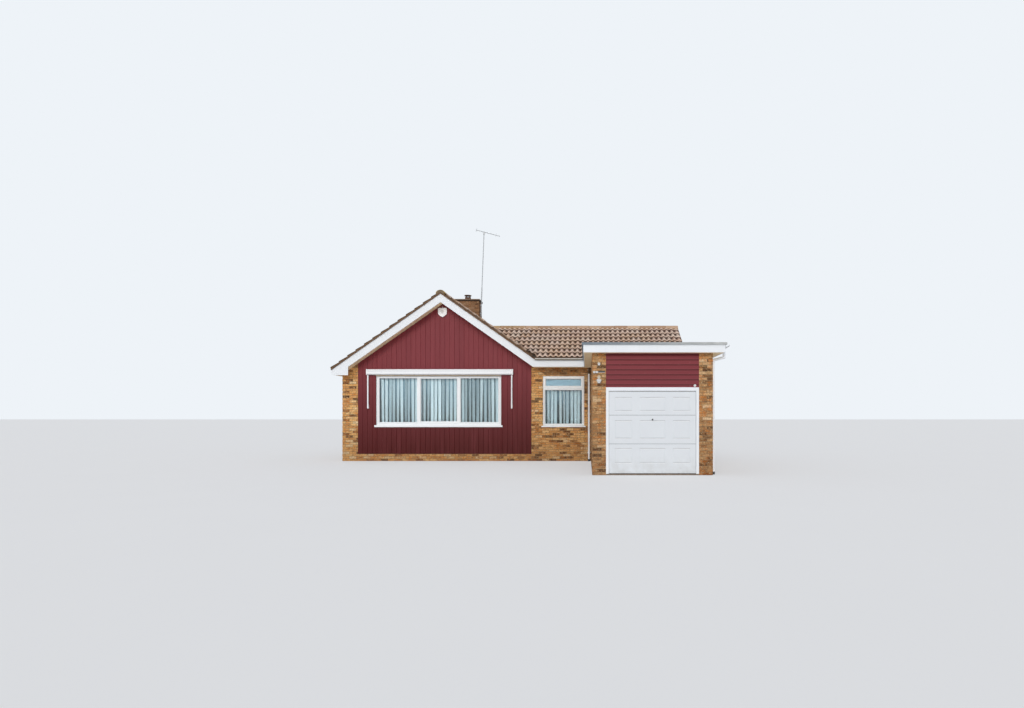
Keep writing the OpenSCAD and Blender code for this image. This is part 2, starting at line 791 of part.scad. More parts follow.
module gutters() {
    front_gutter_x = valley_x(link_nose_front_y) + 12;
    // The gutters of the main eaves lie between the bargeboards
    end_gap = 2;
    left_y0 = barge_front_y + board_t + end_gap;
    right_y0 = link_nose_rear_y + 40;
    y1 = barge_rear_y - board_t - end_gap;
    place() color(white) {
        translate([board_left_x - gutter_gap, y1, main_rim_z])
            rotate([0, 0, -90]) gutter_run(y1 - left_y0, 9);
        translate([board_right_x + gutter_gap, right_y0, main_rim_z])
            rotate([0, 0, 90]) gutter_run(y1 - right_y0, 5);
        translate([front_gutter_x, link_board_front_y - gutter_gap, link_rim_z])
            gutter_run(flat_x0 - trim_out - 4 - front_gutter_x, 2);
        translate([link_verge_x - 4, link_board_rear_y + gutter_gap, link_rim_z])
            rotate([0, 0, 180]) gutter_run(link_verge_x - nose_right_x - 48, 5);
        translate([flat_x1 + gutter_gap, flat_y0, flat_rim_z])
            rotate([0, 0, 90]) gutter_run(flat_y1 - flat_y0, 6);
    }
}

// Pipe down a wall that lies towards +y, with the clips that hold it
module wall_pipe(top_z) {
    r = pipe_d / 2;
    clip_w = 12;
    clip_h = 30;
    cylinder(h = top_z, r = r);
    for (z = [top_z - 90, top_z / 2, 260])
        translate([-r - clip_w, -8, z]) cube([2 * r + 2 * clip_w, pipe_off + 8, clip_h]);
}

// Pipe that drops from a gutter past the eaves, goes back to the wall by a swan neck and runs
// down it. The outlet stands off the wall pipe by out.
module downpipe(rim_z, eaves_z, out) {
    r = pipe_d / 2;
    bend_r = r + 4;
    neck_below = 85;
    neck_drop = 70;
    neck_z = eaves_z - neck_below;
    wall_z = neck_z - neck_drop;
    translate([0, -out, neck_z]) {
        cylinder(h = rim_z - gutter_r - neck_z, r = r);
        sphere(r = bend_r);
        rotate([-90 - atan2(neck_drop, out), 0, 0])
            cylinder(h = sqrt(out * out + neck_drop * neck_drop), r = r);
    }
    translate([0, 0, wall_z]) sphere(r = bend_r);
    wall_pipe(wall_z);
}

module downpipes() {
    corner_in = 300;
    front_in = 230;
    // The front pipe goes up into the boxed eaves, where its bends are
    pipe_x = garage_x - pipe_off - 8;
    place() color(white) {
        translate([pipe_x, front_y - pipe_off, 0]) wall_pipe(link_eaves_z - seat);
        translate([right_x + pipe_off, front_in, 0]) rotate([0, 0, 90])
            downpipe(flat_rim_z, link_eaves_z, flat_right_out + gutter_off - pipe_off);
        translate([-pipe_off, rear_y - corner_in, 0]) rotate([0, 0, -90])
            downpipe(main_rim_z, main_eaves_z, eaves_out + gutter_off - pipe_off);
        translate([front_w + pipe_off, rear_y - corner_in, 0]) rotate([0, 0, 90])
            downpipe(main_rim_z, main_eaves_z, eaves_out + gutter_off - pipe_off);
        translate([right_x - corner_in, link_rear_y + pipe_off, 0]) rotate([0, 0, 180])
            downpipe(link_rim_z, link_eaves_z, link_eaves_out + gutter_off - pipe_off);
    }
}

module flat_roof_deck() {
    place() color(grey) difference() {
        block(flat_x0 + board_t, flat_x1 - board_t, flat_y0 + board_t, front_y, deck_z, deck_z + deck_t);
        block(flat_x0, garage_x - 1, flat_y1, front_y + eps, 0, far);
        block(right_x + 1, flat_x1, flat_y1, front_y + eps, 0, far);
    }
}

module flat_roof_joists() {
    joist_w = 50;
    joist_in = 60;
    first = pier_d + joist_in;
    step = (front_y - joist_w - joist_in - first) / (joists - 1);
    place() color([0.74, 0.60, 0.42]) for (i = [0:joists - 1])
        block(garage_x, right_x, first + i * step, first + i * step + joist_w, joist_z, deck_z);
}

// White board round the three free sides of the flat roof
module flat_roof_board() {
    place() color(white) difference() {
        block(flat_x0, flat_x1, flat_y0, flat_y1, link_eaves_z, flat_board_z);
        block(flat_x0 + board_t, flat_x1 - board_t, flat_y0 + board_t, flat_y1 + eps,
            link_eaves_z - eps, flat_board_z + eps);
    }
    place() color(white)
        block(link_end_x, flat_x1, flat_y1, flat_y1 + board_t, link_eaves_z, flat_board_z);
}

// Grey metal edge that laps over the board and holds down the roof felt
module flat_roof_trim() {
    place() color(grey) difference() {
        block(flat_x0 - trim_out, flat_x1 + trim_out, flat_y0 - trim_out, trim_y1,
            flat_board_z, flat_top_z);
        block(flat_x0 + board_t, flat_x1 - board_t, flat_y0 + board_t, trim_y1 + eps,
            flat_board_z - eps, flat_top_z + eps);
    }
}

module flat_roof_soffit() {
    place() color(beige) difference() {
        block(flat_x0 + board_t, flat_x1 - board_t, flat_y0 + board_t, flat_y1, link_eaves_z, joist_z);
        block(garage_x, right_x, 0, front_y, 0, far);
    }
}

// Frame with uprights, a sill member and, on a small window, a bar under the top light.
// It stands in XZ with its left foot at the origin and its outer face at y = 0.
// Solids as deep as `depth` that fill the three lights of the wide window.
module wide_lights(depth) {
    light_w = (wide_w - 4 * frame_w) / 3;
    for (i = [0:2])
        translate([frame_w + i * (light_w + frame_w), 0, frame_w])
            cube([light_w, depth, wide_h - 2 * frame_w]);
}

// Solids as deep as `depth` that fill a small window's fixed light and its top light.
module small_lights(depth) {
    top_w = small_frame_w + sash_w;
    top_z = small_h - top_w - vent_h;
    translate([small_frame_w, 0, small_frame_w])
        cube([small_w - 2 * small_frame_w, depth, top_z - transom_h - small_frame_w]);
    translate([top_w, 0, top_z]) cube([small_w - 2 * top_w, depth, vent_h]);
}

module wide_frame() {
    difference() {
        cube([wide_w, frame_d, wide_h]);
        translate([0, -eps, 0]) wide_lights(frame_d + 2 * eps);
    }
}

module small_frame() {
    difference() {
        cube([small_w, frame_d, small_h]);
        translate([0, -eps, 0]) small_lights(frame_d + 2 * eps);
    }
}

// Sill that runs through the wall under the frame and stands out in front
module sill(w, h) {
    translate([-sill_out, -frame_set - sill_out, -h])
        cube([w + 2 * sill_out, sill_out, h]);
    translate([0, -frame_set, -h]) cube([w, wall_t, h]);
}

// Upright vanes hung from a rail behind the glass, each turned by the same angle
module blinds(w, h) {
    turn = 38;
    rail_h = 40;
    foot = 20;
    vanes = floor((w - 40) / (vane_w * cos(turn)));
    step = (w - vane_w) / (vanes - 1);
    translate([0, frame_d + 30, h - rail_h]) cube([w, 45, rail_h]);
    for (i = [0:vanes - 1])
        translate([vane_w / 2 + i * step, frame_d + 30 + 22, foot]) rotate([0, 0, turn])
            translate([-vane_w / 2, -vane_t / 2, 0]) cube([vane_w, vane_t, h - foot - rail_h]);
}

module at_front(x, z) {
    translate([x, front_y + frame_set, z]) children();
}

module at_left(y) {
    translate([frame_set, y + small_w, small_sill_z]) rotate([0, 0, -90]) children();
}

module at_right(x, y) {
    translate([x - frame_set, y, small_sill_z]) rotate([0, 0, 90]) children();
}

module at_rear(x, y) {
    translate([x + small_w, y - frame_set, small_sill_z]) rotate([0, 0, 180]) children();
}

module wide_window() {
    place() color(white) at_front(wide_x, sill_z) {
        wide_frame();
        sill(wide_w, sill_h);
    }
}

module wide_window_glass() {
    place() color([0.6, 0.72, 0.78, 0.5]) at_front(wide_x, sill_z)
        translate([0, glass_y, 0]) wide_lights(glass_t);
}

module wide_window_blinds() {
    place() color(white) at_front(wide_x, sill_z) blinds(wide_w, wide_h);
}

module small_window() {
    place() color(white) at_front(small_x, small_sill_z) {
        small_frame();
        sill(small_w, small_sill_h);
    }
}

module small_window_glass() {
    place() color([0.6, 0.72, 0.78, 0.5]) at_front(small_x, small_sill_z)
        translate([0, glass_y, 0]) small_lights(glass_t);
}

module small_window_blinds() {
    place() color(white) at_front(small_x, small_sill_z) blinds(small_w, small_h);
}

module at_sides() {
    at_left(side_window_y1) children();
    at_left(side_window_y2) children();
    at_right(right_x, link_window_y) children();
    at_right(front_w, right_window_y) children();
}

module at_back() {
    at_rear(rear_window_x1, rear_y) children();
    at_rear(rear_window_x2, rear_y) children();
    at_rear(link_rear_window_x, link_rear_y) children();
}

module side_windows() {
    place() color(white) at_sides() {
        small_frame();
        sill(small_w, small_sill_h);
    }
}

module side_window_glass() {
    place() color([0.6, 0.72, 0.78, 0.5]) at_sides() translate([0, glass_y, 0])
        small_lights(glass_t);
}

module rear_windows() {
    place() color(white) at_back() {
        small_frame();
        sill(small_w, small_sill_h);
    }
}

module rear_window_glass() {
    place() color([0.6, 0.72, 0.78, 0.5]) at_back() translate([0, glass_y, 0])
        small_lights(glass_t);
}

// Plain white door in its frame, in the left wall
module entrance_door() {
    jamb = 50;
    set = 60;
    rail = 110;
    lock_rail = [820, 1050];
    panel_in = 14;
    gap = 3;
    gap_d = 6;
    place() color(white) translate([set, entrance_y + entrance_w, floor_z]) rotate([0, 0, -90])
        difference() {
            cube([entrance_w, frame_d, entrance_h]);
            for (z = [[jamb + rail, lock_rail[0]], [lock_rail[1], entrance_h - jamb - rail]])
                translate([jamb + rail, -eps, z[0]])
                    cube([entrance_w - 2 * (jamb + rail), panel_in + eps, z[1] - z[0]]);
            for (x = [jamb, entrance_w - jamb - gap])
                translate([x, -eps, -eps]) cube([gap, gap_d, entrance_h - jamb]);
            translate([jamb, -eps, entrance_h - jamb - gap])
                cube([entrance_w - 2 * jamb, gap_d, gap]);
        }
}

// Brick stack that rises from the ridge, its foot on the two slopes
module chimney_stack() {
    place() color(chimney_brick) difference() {
        block(stack_x0, stack_x1, stack_y0, stack_y1, main_z(stack_x1), stack_top_z);
        along_y(stack_y0 - eps, stack_y1 + eps)
            polygon([[ridge_x, main_apex_z + seat], [stack_x0 - eps, main_z(stack_x0 - eps) + seat],
                [stack_x0 - eps, 0], [stack_x1 + eps, 0],
                [stack_x1 + eps, main_z(stack_x1 + eps) + seat]]);
    }
}

module chimney_cap() {
    place() color(concrete)
        block(stack_x0 - cap_out, stack_x1 + cap_out, stack_y0 - cap_out, stack_y1 + cap_out,
            stack_top_z + seat, stack_top_z + cap_h);
}

// Low pot with a flat lid raised on four legs
module chimney_pot() {
    pot_r = 112;
    pot_h = 115;
    pot_floor = 10;
    bore_r = 94;
    leg_r = 12;
    leg_z = 170;
    leg_in = 10;
    lid_r = 132;
    lid_h = 30;
    left = 28;
    place() color([0.30, 0.24, 0.21]) translate([(stack_x0 + stack_x1) / 2 - left,
        (stack_y0 + stack_y1) / 2, stack_top_z + cap_h]) {
        difference() {
            cylinder(h = pot_h, r = pot_r);
            translate([0, 0, pot_floor]) cylinder(h = pot_h, r = bore_r);
        }
        for (a = [45:90:315]) rotate([0, 0, a]) translate([pot_r - leg_in, 0, pot_h - eps])
            cylinder(h = leg_z - pot_h + 2 * eps, r = leg_r);
        translate([0, 0, leg_z]) cylinder(h = lid_h, r = lid_r);
    }
}

// Leaning mast of two lengths, held to the chimney's side by two brackets
module aerial_mast() {
    bracket_w = 70;
    bracket_h = 40;
    place() color(steel) {
        translate([mast_x, mast_y, mast_foot_z]) rotate([0, mast_lean, 0]) {
            cylinder(h = lower_len, d = mast_foot_d);
            translate([0, 0, lower_len - eps]) cylinder(h = mast_len - lower_len + eps, d = mast_d);
        }
        for (z = [stack_top_z - 450, stack_top_z - 150])
            block(stack_x1 + seat, mast_x, mast_y - bracket_w / 2, mast_y + bracket_w / 2,
                z, z + bracket_h);
    }
}

// Boom with short cross rods, held over the mast's top by a clamp. It is drawn in the mast's
// leaning frame, so the boom's own tilt is measured from there.
module aerial_array() {
    boom_len = 930;
    boom_d = 20;
    // Part of the boom to the left of the mast
    boom_left = 312;
    boom_tilt = 14.8;
    boom_up = 88;
    rods = 9;
    rod_w = 240;
    taper = 9;
    rod_d = 8;
    rod_in = 14;
    clamp_w = 52;
    reflector_h = 150;
    dipole_h = 150;
    dipole_in = 150;
    place() color(steel) translate([mast_x, mast_y, mast_foot_z]) rotate([0, mast_lean, 0])
        translate([0, 0, mast_len + seat]) {
            translate([-clamp_w / 2, -clamp_w / 2, 0]) cube([clamp_w, clamp_w, boom_up]);
            translate([0, 0, boom_up]) rotate([0, boom_tilt - mast_lean, 0]) {
                translate([-boom_left, 0, 0]) rotate([0, 90, 0])
                    cylinder(h = boom_len, d = boom_d);
                for (i = [0:rods - 1])
                    translate([rod_in - boom_left + i * (boom_len - 2 * rod_in) / (rods - 1), 0, 0])
                        rotate([90, 0, 0])
                            cylinder(h = rod_w - i * taper, d = rod_d, center = true, $fn = 16);
                translate([rod_in - boom_left, 0, -reflector_h / 2])
                    cylinder(h = reflector_h, d = rod_d, $fn = 16);
                translate([boom_len - boom_left - dipole_in, 0, -dipole_h / 2])
                    cylinder(h = dipole_h, d = rod_d, $fn = 16);
            }
        }
}

// Case with a rounded front nose, on the wall over the wide window
module awning_case() {
    nose_r = 40;
    body_y = front_y - awning_d + nose_r;
    place() color(white) along_x(awning_x, awning_x + awning_w) {
        translate([body_y, awning_z]) square([awning_d - nose_r, awning_h]);
        for (z = [awning_z + nose_r, awning_z + awning_h - nose_r]) translate([body_y, z])
            circle(r = nose_r);
        translate([front_y - awning_d, awning_z + nose_r]) square([nose_r, awning_h - 2 * nose_r]);
    }
}

// Side arms that hang down the wall from the case, each in a shoe at its foot
module awning_arms() {
    arm_w = 38;
    arm_out = 60;
    arm_d = 26;
    shoe_lip = 4;
    shoe_h = 110;
    left_in = 4;
    right_in = 32;
    place() color(white) for (x = [awning_x + left_in, awning_x + awning_w - right_in - arm_w]) {
        block(x, x + arm_w, front_y - arm_out, front_y - arm_out + arm_d, awning_arm_z, awning_z);
        translate([x + arm_w / 2, front_y - arm_out, awning_arm_z]) rotate([-90, 0, 0])
            cylinder(h = arm_d, d = arm_w);
        block(x - shoe_lip, x + arm_w + shoe_lip, front_y - arm_out + arm_d, front_y,
            awning_arm_z - 10, awning_arm_z + shoe_h);
    }
}

// Shield-shaped sounder box near the top of the gable, its lower sides curved to a point
module alarm_box() {
    alarm_d = 70;
    alarm_drop = 736;
    chin_h = 150;
    left = 22;
    corner = 26;
    steps = 10;
    place() color(white) along_y(front_y - alarm_d, front_y)
        translate([ridge_x - left, main_apex_z - alarm_drop])
            polygon(concat(
                [[0, 0]],
                [for (i = [1:steps]) [alarm_w / 2 * (1 - pow(1 - i / steps, 2.2)), chin_h * i / steps]],
                [[alarm_w / 2, alarm_h - corner], [alarm_w / 2 - corner, alarm_h],
                    [corner - alarm_w / 2, alarm_h], [-alarm_w / 2, alarm_h - corner]],
                [for (i = [0:steps - 1])
                    [-alarm_w / 2 * (1 - pow(i / steps, 2.2)), chin_h * (1 - i / steps)]]));
}

// A lamp, a bar with two small lamps and a lamp with a bowl on the left pier, and a round sensor
// on the boards over the door
module garage_lamps() {
    lamp_x = garage_x + 160;
    base_d = 18;
    base_r = 36;
    head_out = 12;
    head_r = 28;
    head_len = 100;
    bar_w = 290;
    bar_h = 30;
    bar_d = 28;
    small_r = 24;
    small_len = 70;
    arm_r = 10;
    plate_r = 44;
    bowl_y = -78;
    bowl_z = 2310;
    bowl_h = 40;
    bowl_r = 58;
    tip_h = 60;
    tip_r = 22;
    eye_r = 31;
    eye_in = 105;
    eye_up = 42;
    eye_d = 26;
    place() color(white) translate([0, -seat, 0]) {
        // Upper lamp, tipped down from its round base
        translate([lamp_x, 0, spot_z]) rotate([90, 0, 0]) cylinder(h = base_d, r = base_r);
        translate([lamp_x, -head_out, spot_z]) rotate([108, 0, 0])
            cylinder(h = head_len, r = head_r);
        // Bar and its two lamps
        block(lamp_x - bar_w / 2, lamp_x + bar_w / 2, -bar_d, 0, lamp_bar_z, lamp_bar_z + bar_h);
        for (x = [-118, -54]) translate([lamp_x + x, -bar_d / 2, lamp_bar_z + bar_h / 2])
            rotate([100, 0, 0]) cylinder(h = small_len, r = small_r);
        // Lowest lamp, its bowl hung from an arm
        translate([lamp_x, 0, bowl_plate_z]) rotate([90, 0, 0])
            cylinder(h = base_d, r = plate_r);
        translate([lamp_x, 0, bowl_plate_z]) rotate([90, 0, 0])
            cylinder(h = arm_r - bowl_y, r = arm_r);
        translate([lamp_x, bowl_y, bowl_z + bowl_h - eps])
            cylinder(h = bowl_plate_z - bowl_z - bowl_h + eps, r = arm_r);
        translate([lamp_x, bowl_y, bowl_z]) cylinder(h = bowl_h, r = bowl_r);
        translate([lamp_x, bowl_y, bowl_z - tip_h])
            cylinder(h = tip_h + eps, r1 = tip_r, r2 = bowl_r);
        // Round sensor
        translate([frame_x1 - eye_in, 0, frame_top_z + eye_up]) rotate([90, 0, 0])
            cylinder(h = eye_d, r = eye_r);
    }
}

module garage_door_frame() {
    place() color(white) difference() {
        block(frame_x0, frame_x1, 0, post_d, garage_floor_t, frame_top_z);
        block(opening_x0, opening_x1, -eps, post_d + eps, 0, head_z);
    }
}

// Steel guide angle on the pier behind the rollers, and beside it the bracket with the fixed pin
// that carries a lifting arm
module track(side) {
    plate_t = 5;
    plate_half = 55;
    plate_gap = 2;
    boss_d = pin_d + 14;
    head_t = 4;
    head_d = pin_d + 8;
    side_gap = 1;
    mirror([side < 0 ? 0 : 1, 0, 0]) {
        translate([0, guide_y, garage_floor_t]) {
            cube([track_t, guide_leg, head_z - garage_floor_t]);
            cube([guide_leg, track_t, head_z - garage_floor_t]);
        }
        translate([0, post_d + plate_gap, arm_pivot_z - plate_half])
            cube([plate_t, guide_y - post_d - 2 * plate_gap, 2 * plate_half]);
        translate([0, pivot_y, arm_pivot_z]) rotate([0, 90, 0]) {
            cylinder(h = arm_x0 - side_gap, d = boss_d);
            cylinder(h = arm_x0 + arm_t + side_gap + head_t, d = pin_d);
        }
        translate([arm_x0 + arm_t + side_gap, pivot_y, arm_pivot_z]) rotate([0, 90, 0])
            cylinder(h = head_t, d = head_d);
    }
}

module garage_door_tracks() {
    place() color(steel) {
        translate([frame_x0, 0, 0]) track(-1);
        translate([frame_x1, 0, 0]) track(1);
    }
}

// Flat bar with round ends and a bore at each pivot
module arm() {
    bore = pin_d + 0.6;
    rotate([90, 0, 90]) linear_extrude(height = arm_t) difference() {
        union() {
            circle(d = arm_w);
            translate([-arm_w / 2, -arm_len]) square([arm_w, arm_len]);
            translate([0, -arm_len]) circle(d = arm_w);
        }
        circle(d = bore);
        translate([0, -arm_len]) circle(d = bore);
    }
}

module garage_door_arms() {
    place() color(steel) {
        translate([frame_x0 + arm_x0, pivot_y, arm_pivot_z]) arm();
        translate([frame_x1 - arm_x0 - arm_t, pivot_y, arm_pivot_z]) arm();
    }
}

// Left edges and widths of the three columns of panels
panel_cols = [[panel_edge, side_panel_w], [(leaf_w - mid_panel_w) / 2, mid_panel_w],
    [leaf_w - panel_edge - side_panel_w, side_panel_w]];
// Feet and heights of the three rows of panels, above the foot of the leaf
panel_rows = [[247, 370], [850, 450], [1528, 344]];
// Joints between the leaf's three sections
section_joints = [722, 1428];
handle_z = 1318;

// Raised field of a panel, its face at y = 0 and its foot at y = panel_d
module raised_field(w, h) {
    intersection() {
        linear_extrude(height = h)
            polygon([[0, panel_d], [panel_slope, 0], [w - panel_slope, 0], [w, panel_d]]);
        along_x(0, w)
            polygon([[panel_d, 0], [0, panel_slope], [0, h - panel_slope], [panel_d, h]]);
    }
}

// Leaf of three sections with raised panels that have sloping margins
module garage_door_leaf() {
    border = 9;
    joint_w = 6;
    joint_d = 5;
    cross_h = 60;
    rose_d = 46;
    rose_h = 6;
    handle_d = 22;
    handle_out = 5;
    bury = 2;
    place() color(white) translate([leaf_x0, leaf_y, leaf_z]) {
        difference() {
            cube([leaf_w, leaf_t, leaf_h]);
            translate([rail_w, sheet_t, rail_w])
                cube([leaf_w - 2 * rail_w, leaf_t, leaf_h - 2 * rail_w]);
            for (c = panel_cols, r = panel_rows)
                translate([c[0], -eps, r[0]]) cube([c[1], panel_d + eps, r[1]]);
            for (z = section_joints)
                translate([-eps, -eps, z - joint_w / 2])
                    cube([leaf_w + 2 * eps, joint_d + eps, joint_w]);
        }
        for (c = panel_cols, r = panel_rows)
            translate([c[0] + border, 0, r[0] + border])
                raised_field(c[1] - 2 * border, r[1] - 2 * border);
        for (z = section_joints)
            translate([rail_w - 1, sheet_t - 1, z - cross_h / 2])
                cube([leaf_w - 2 * rail_w + 2, leaf_t - sheet_t + 1, cross_h]);
        translate([leaf_w / 2, bury, handle_z]) rotate([90, 0, 0])
            cylinder(h = rose_h + bury, d = rose_d);
        translate([leaf_w / 2, bury, handle_z]) rotate([90, 0, 0])
            cylinder(h = rose_h + handle_out + bury, d = handle_d);
    }
}

// Brackets, pins and rollers on the back edges of the leaf
module gear(side) {
    reach = leaf_gap + post_w;
    bracket_w = 50;
    bracket_h = 70;
    bracket_in = 12;
    head_t = 4;
    roller_t = 18;
    roller_x = 24;
    mirror([side < 0 ? 0 : 1, 0, 0]) {
        for (z = [leaf_pivot_z, roller_z])
            translate([reach, leaf_back_y, z - bracket_h / 2])
                cube([bracket_w, pivot_y + bracket_in - leaf_back_y, bracket_h]);
        translate([reach, pivot_y, leaf_pivot_z]) rotate([0, -90, 0]) {
            cylinder(h = reach - arm_x0 - arm_t - 1, d = pin_d + 10);
            cylinder(h = reach - arm_x0 + head_t, d = pin_d);
        }
        translate([arm_x0 - 1, pivot_y, leaf_pivot_z]) rotate([0, -90, 0])
            cylinder(h = head_t, d = pin_d + 8);
        translate([reach, pivot_y, roller_z]) rotate([0, -90, 0])
            cylinder(h = reach - roller_x, d = pin_d);
        translate([roller_x, pivot_y, roller_z]) rotate([0, 90, 0])
            cylinder(h = roller_t, d = roller_d);
    }
}

module garage_door_gear() {
    place() color(steel) {
        translate([frame_x0, 0, 0]) gear(-1);
        translate([frame_x1, 0, 0]) gear(1);
    }
}

left_wall();
front_wall();
link_front_wall();
rear_wall();
right_rear_wall();
link_rear_wall();
link_right_wall();
garage_left_wall();
garage_right_wall();
garage_left_pier();
garage_right_pier();
garage_beam();
shiplap_panel();
gable_cladding();
house_floor();
garage_floor();
door_step();
main_roof_left();
main_roof_right();
link_roof_front();
link_roof_rear();
main_ridge_tiles();
link_ridge_tiles();
front_bargeboards();
rear_bargeboards();
verge_soffits();
eaves_boards();
eaves_soffits();
gutters();
downpipes();
flat_roof_deck();
flat_roof_joists();
flat_roof_board();
flat_roof_trim();
flat_roof_soffit();
wide_window();
wide_window_glass();
wide_window_blinds();
small_window();
small_window_glass();
small_window_blinds();
side_windows();
side_window_glass();
rear_windows();
rear_window_glass();
entrance_door();
chimney_stack();
chimney_cap();
chimney_pot();
aerial_mast();
aerial_array();
awning_case();
awning_arms();
alarm_box();
garage_lamps();
garage_door_frame();
garage_door_tracks();
garage_door_arms();
garage_door_leaf();
garage_door_gear();
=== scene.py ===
"""The looks of a detached bungalow with a boarded gable and a flat-roofed garage."""
import math
from random import Random

import bmesh
import bpy
import numpy as np
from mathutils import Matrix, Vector


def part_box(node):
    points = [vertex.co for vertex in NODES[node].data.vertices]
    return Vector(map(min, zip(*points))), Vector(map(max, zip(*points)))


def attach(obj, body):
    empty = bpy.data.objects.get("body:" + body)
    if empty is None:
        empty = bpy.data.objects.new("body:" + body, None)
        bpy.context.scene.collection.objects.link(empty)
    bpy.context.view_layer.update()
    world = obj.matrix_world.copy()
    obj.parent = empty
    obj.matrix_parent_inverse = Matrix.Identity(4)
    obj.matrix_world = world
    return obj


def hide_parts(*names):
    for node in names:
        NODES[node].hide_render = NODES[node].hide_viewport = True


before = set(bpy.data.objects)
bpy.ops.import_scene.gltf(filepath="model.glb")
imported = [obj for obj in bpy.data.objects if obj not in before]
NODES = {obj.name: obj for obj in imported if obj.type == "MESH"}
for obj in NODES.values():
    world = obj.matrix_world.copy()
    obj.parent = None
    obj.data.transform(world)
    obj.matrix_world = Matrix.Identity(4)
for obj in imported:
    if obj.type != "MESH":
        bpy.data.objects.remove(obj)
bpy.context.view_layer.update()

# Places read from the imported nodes, in metres
HOUSE_X0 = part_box("left_wall")[0].x
HOUSE_X1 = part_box("rear_wall")[1].x
FRONT_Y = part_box("front_wall")[0].y
REAR_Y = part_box("rear_wall")[1].y
LINK_REAR_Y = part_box("link_rear_wall")[1].y
GARAGE_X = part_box("garage_left_wall")[0].x
RIGHT_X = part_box("garage_right_wall")[1].x
GARAGE_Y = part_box("garage_left_pier")[0].y
FRAME_X0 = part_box("garage_left_pier")[1].x
FRAME_X1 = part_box("garage_right_pier")[0].x
LINK_EAVES_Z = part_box("flat_roof_board")[0].z
MAIN_EAVES_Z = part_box("rear_bargeboards")[0].z
CLAD_X0, CLAD_X1 = (corner.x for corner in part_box("gable_cladding"))
CLAD_FOOT_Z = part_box("gable_cladding")[0].z
RIDGE_X = (HOUSE_X0 + HOUSE_X1) / 2
SILL_EAR = 0.045
WINDOW_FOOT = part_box("small_window")[0].z
FAR = 99.0

# The roof slabs, whose upper faces carry the tiles
TILE_BED = 0.05
SLAB_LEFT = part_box("main_roof_left")
SLAB_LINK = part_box("link_roof_front")
MAIN_APEX_Z = SLAB_LEFT[1].z
MAIN_RUN = SLAB_LEFT[1].x - SLAB_LEFT[0].x
MAIN_TAN = (MAIN_APEX_Z - TILE_BED - SLAB_LEFT[0].z) / MAIN_RUN
VERGE_Y0, VERGE_Y1 = SLAB_LEFT[0].y, SLAB_LEFT[1].y
LINK_APEX_Z = SLAB_LINK[1].z
LINK_RIDGE_Y = SLAB_LINK[1].y
LINK_NOSE_Y = SLAB_LINK[0].y
LINK_RUN = LINK_RIDGE_Y - LINK_NOSE_Y
LINK_TAN = (LINK_APEX_Z - TILE_BED - SLAB_LINK[0].z) / LINK_RUN
LINK_VERGE_X = SLAB_LINK[1].x
LINK_NOSE_REAR_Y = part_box("link_roof_rear")[1].y

# Brickwork, boards and tiles
COURSE = 0.075
BRICK_PITCH = 0.225
JOINT = 0.010
BRICK_OUT = 0.006
SHORT_BRICK, LEAST_BRICK, LEAST_CUT = 0.12, 0.03, 0.012
BOARD_PITCH = 0.155
BOARD_GAP = 0.0012
LEAF_FACE_Y = GARAGE_Y + 0.012
LAP_PITCH = 0.1225
LAP_FOOT_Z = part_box("shiplap_panel")[0].z + 0.072
TILE_WIDTH = 0.336
TILE_GAUGE = 0.322
TILE_LAP = 0.03
TILE_NOSE = 0.09
ROLLS = 2
ROLL_H = 0.052
ROLL_STEPS = 7
NOSE_LIFT = 0.036
VALLEY_GAP = 0.045
VALLEY_WIDTH = 0.12
RIDGE_PITCH = 0.45


def tone(red, green, blue):
    """A colour written as it looks on a screen, from 0 to 255, in the linear values that shaders take."""
    def linear(value):
        value /= 255
        return value / 12.92 if value <= 0.04045 else ((value + 0.055) / 1.055) ** 2.4
    return (linear(red), linear(green), linear(blue), 1.0)


def main_z(x):
    """Height of the main roof's slabs at x."""
    return MAIN_APEX_Z - MAIN_TAN * abs(x - RIDGE_X)


def link_z(y):
    """Height of the link roof's slabs at y."""
    return LINK_APEX_Z - LINK_TAN * abs(y - LINK_RIDGE_Y)


def valley_x(y):
    """Where the link roof runs into the main roof's right slope."""
    return RIDGE_X + (MAIN_APEX_Z - link_z(y)) / MAIN_TAN


# Materials

FINISHES = {}


class Shader:
    """A node tree, built up node by node; its colours are written as three numbers from 0 to 255."""

    def __init__(self, tree):
        self.tree = tree

    def wire(self, value, socket):
        if isinstance(value, bpy.types.NodeSocket):
            self.tree.links.new(value, socket)
        else:
            socket.default_value = tone(*value) if socket.type == "RGBA" else value

    def add(self, kind, inputs=(), **settings):
        """Adds a node with its settings, and wires its inputs, given in order or by name."""
        node = self.tree.nodes.new(kind)
        for key, value in settings.items():
            setattr(node, key, value)
        for key, value in inputs.items() if isinstance(inputs, dict) else enumerate(inputs):
            self.wire(value, node.inputs[key])
        return node

    def math(self, operation, *values):
        return self.add("ShaderNodeMath", values, operation=operation).outputs[0]

    def seen(self):
        """1 where the camera sees a thing itself, mirrored or through glass, and 0 for its light."""
        path = self.add("ShaderNodeLightPath").outputs
        seen = self.math("MAXIMUM", path["Is Camera Ray"], path["Is Glossy Ray"])
        return self.math("MAXIMUM", seen, path["Is Transmission Ray"])

    def blend(self, factor, first, second, output):
        """Shows the second shader instead of the first, as far as the factor says."""
        mixer = self.add("ShaderNodeMixShader", (factor, first.outputs[0], second.outputs[0]))
        self.wire(mixer.outputs[0], output.inputs["Surface"])


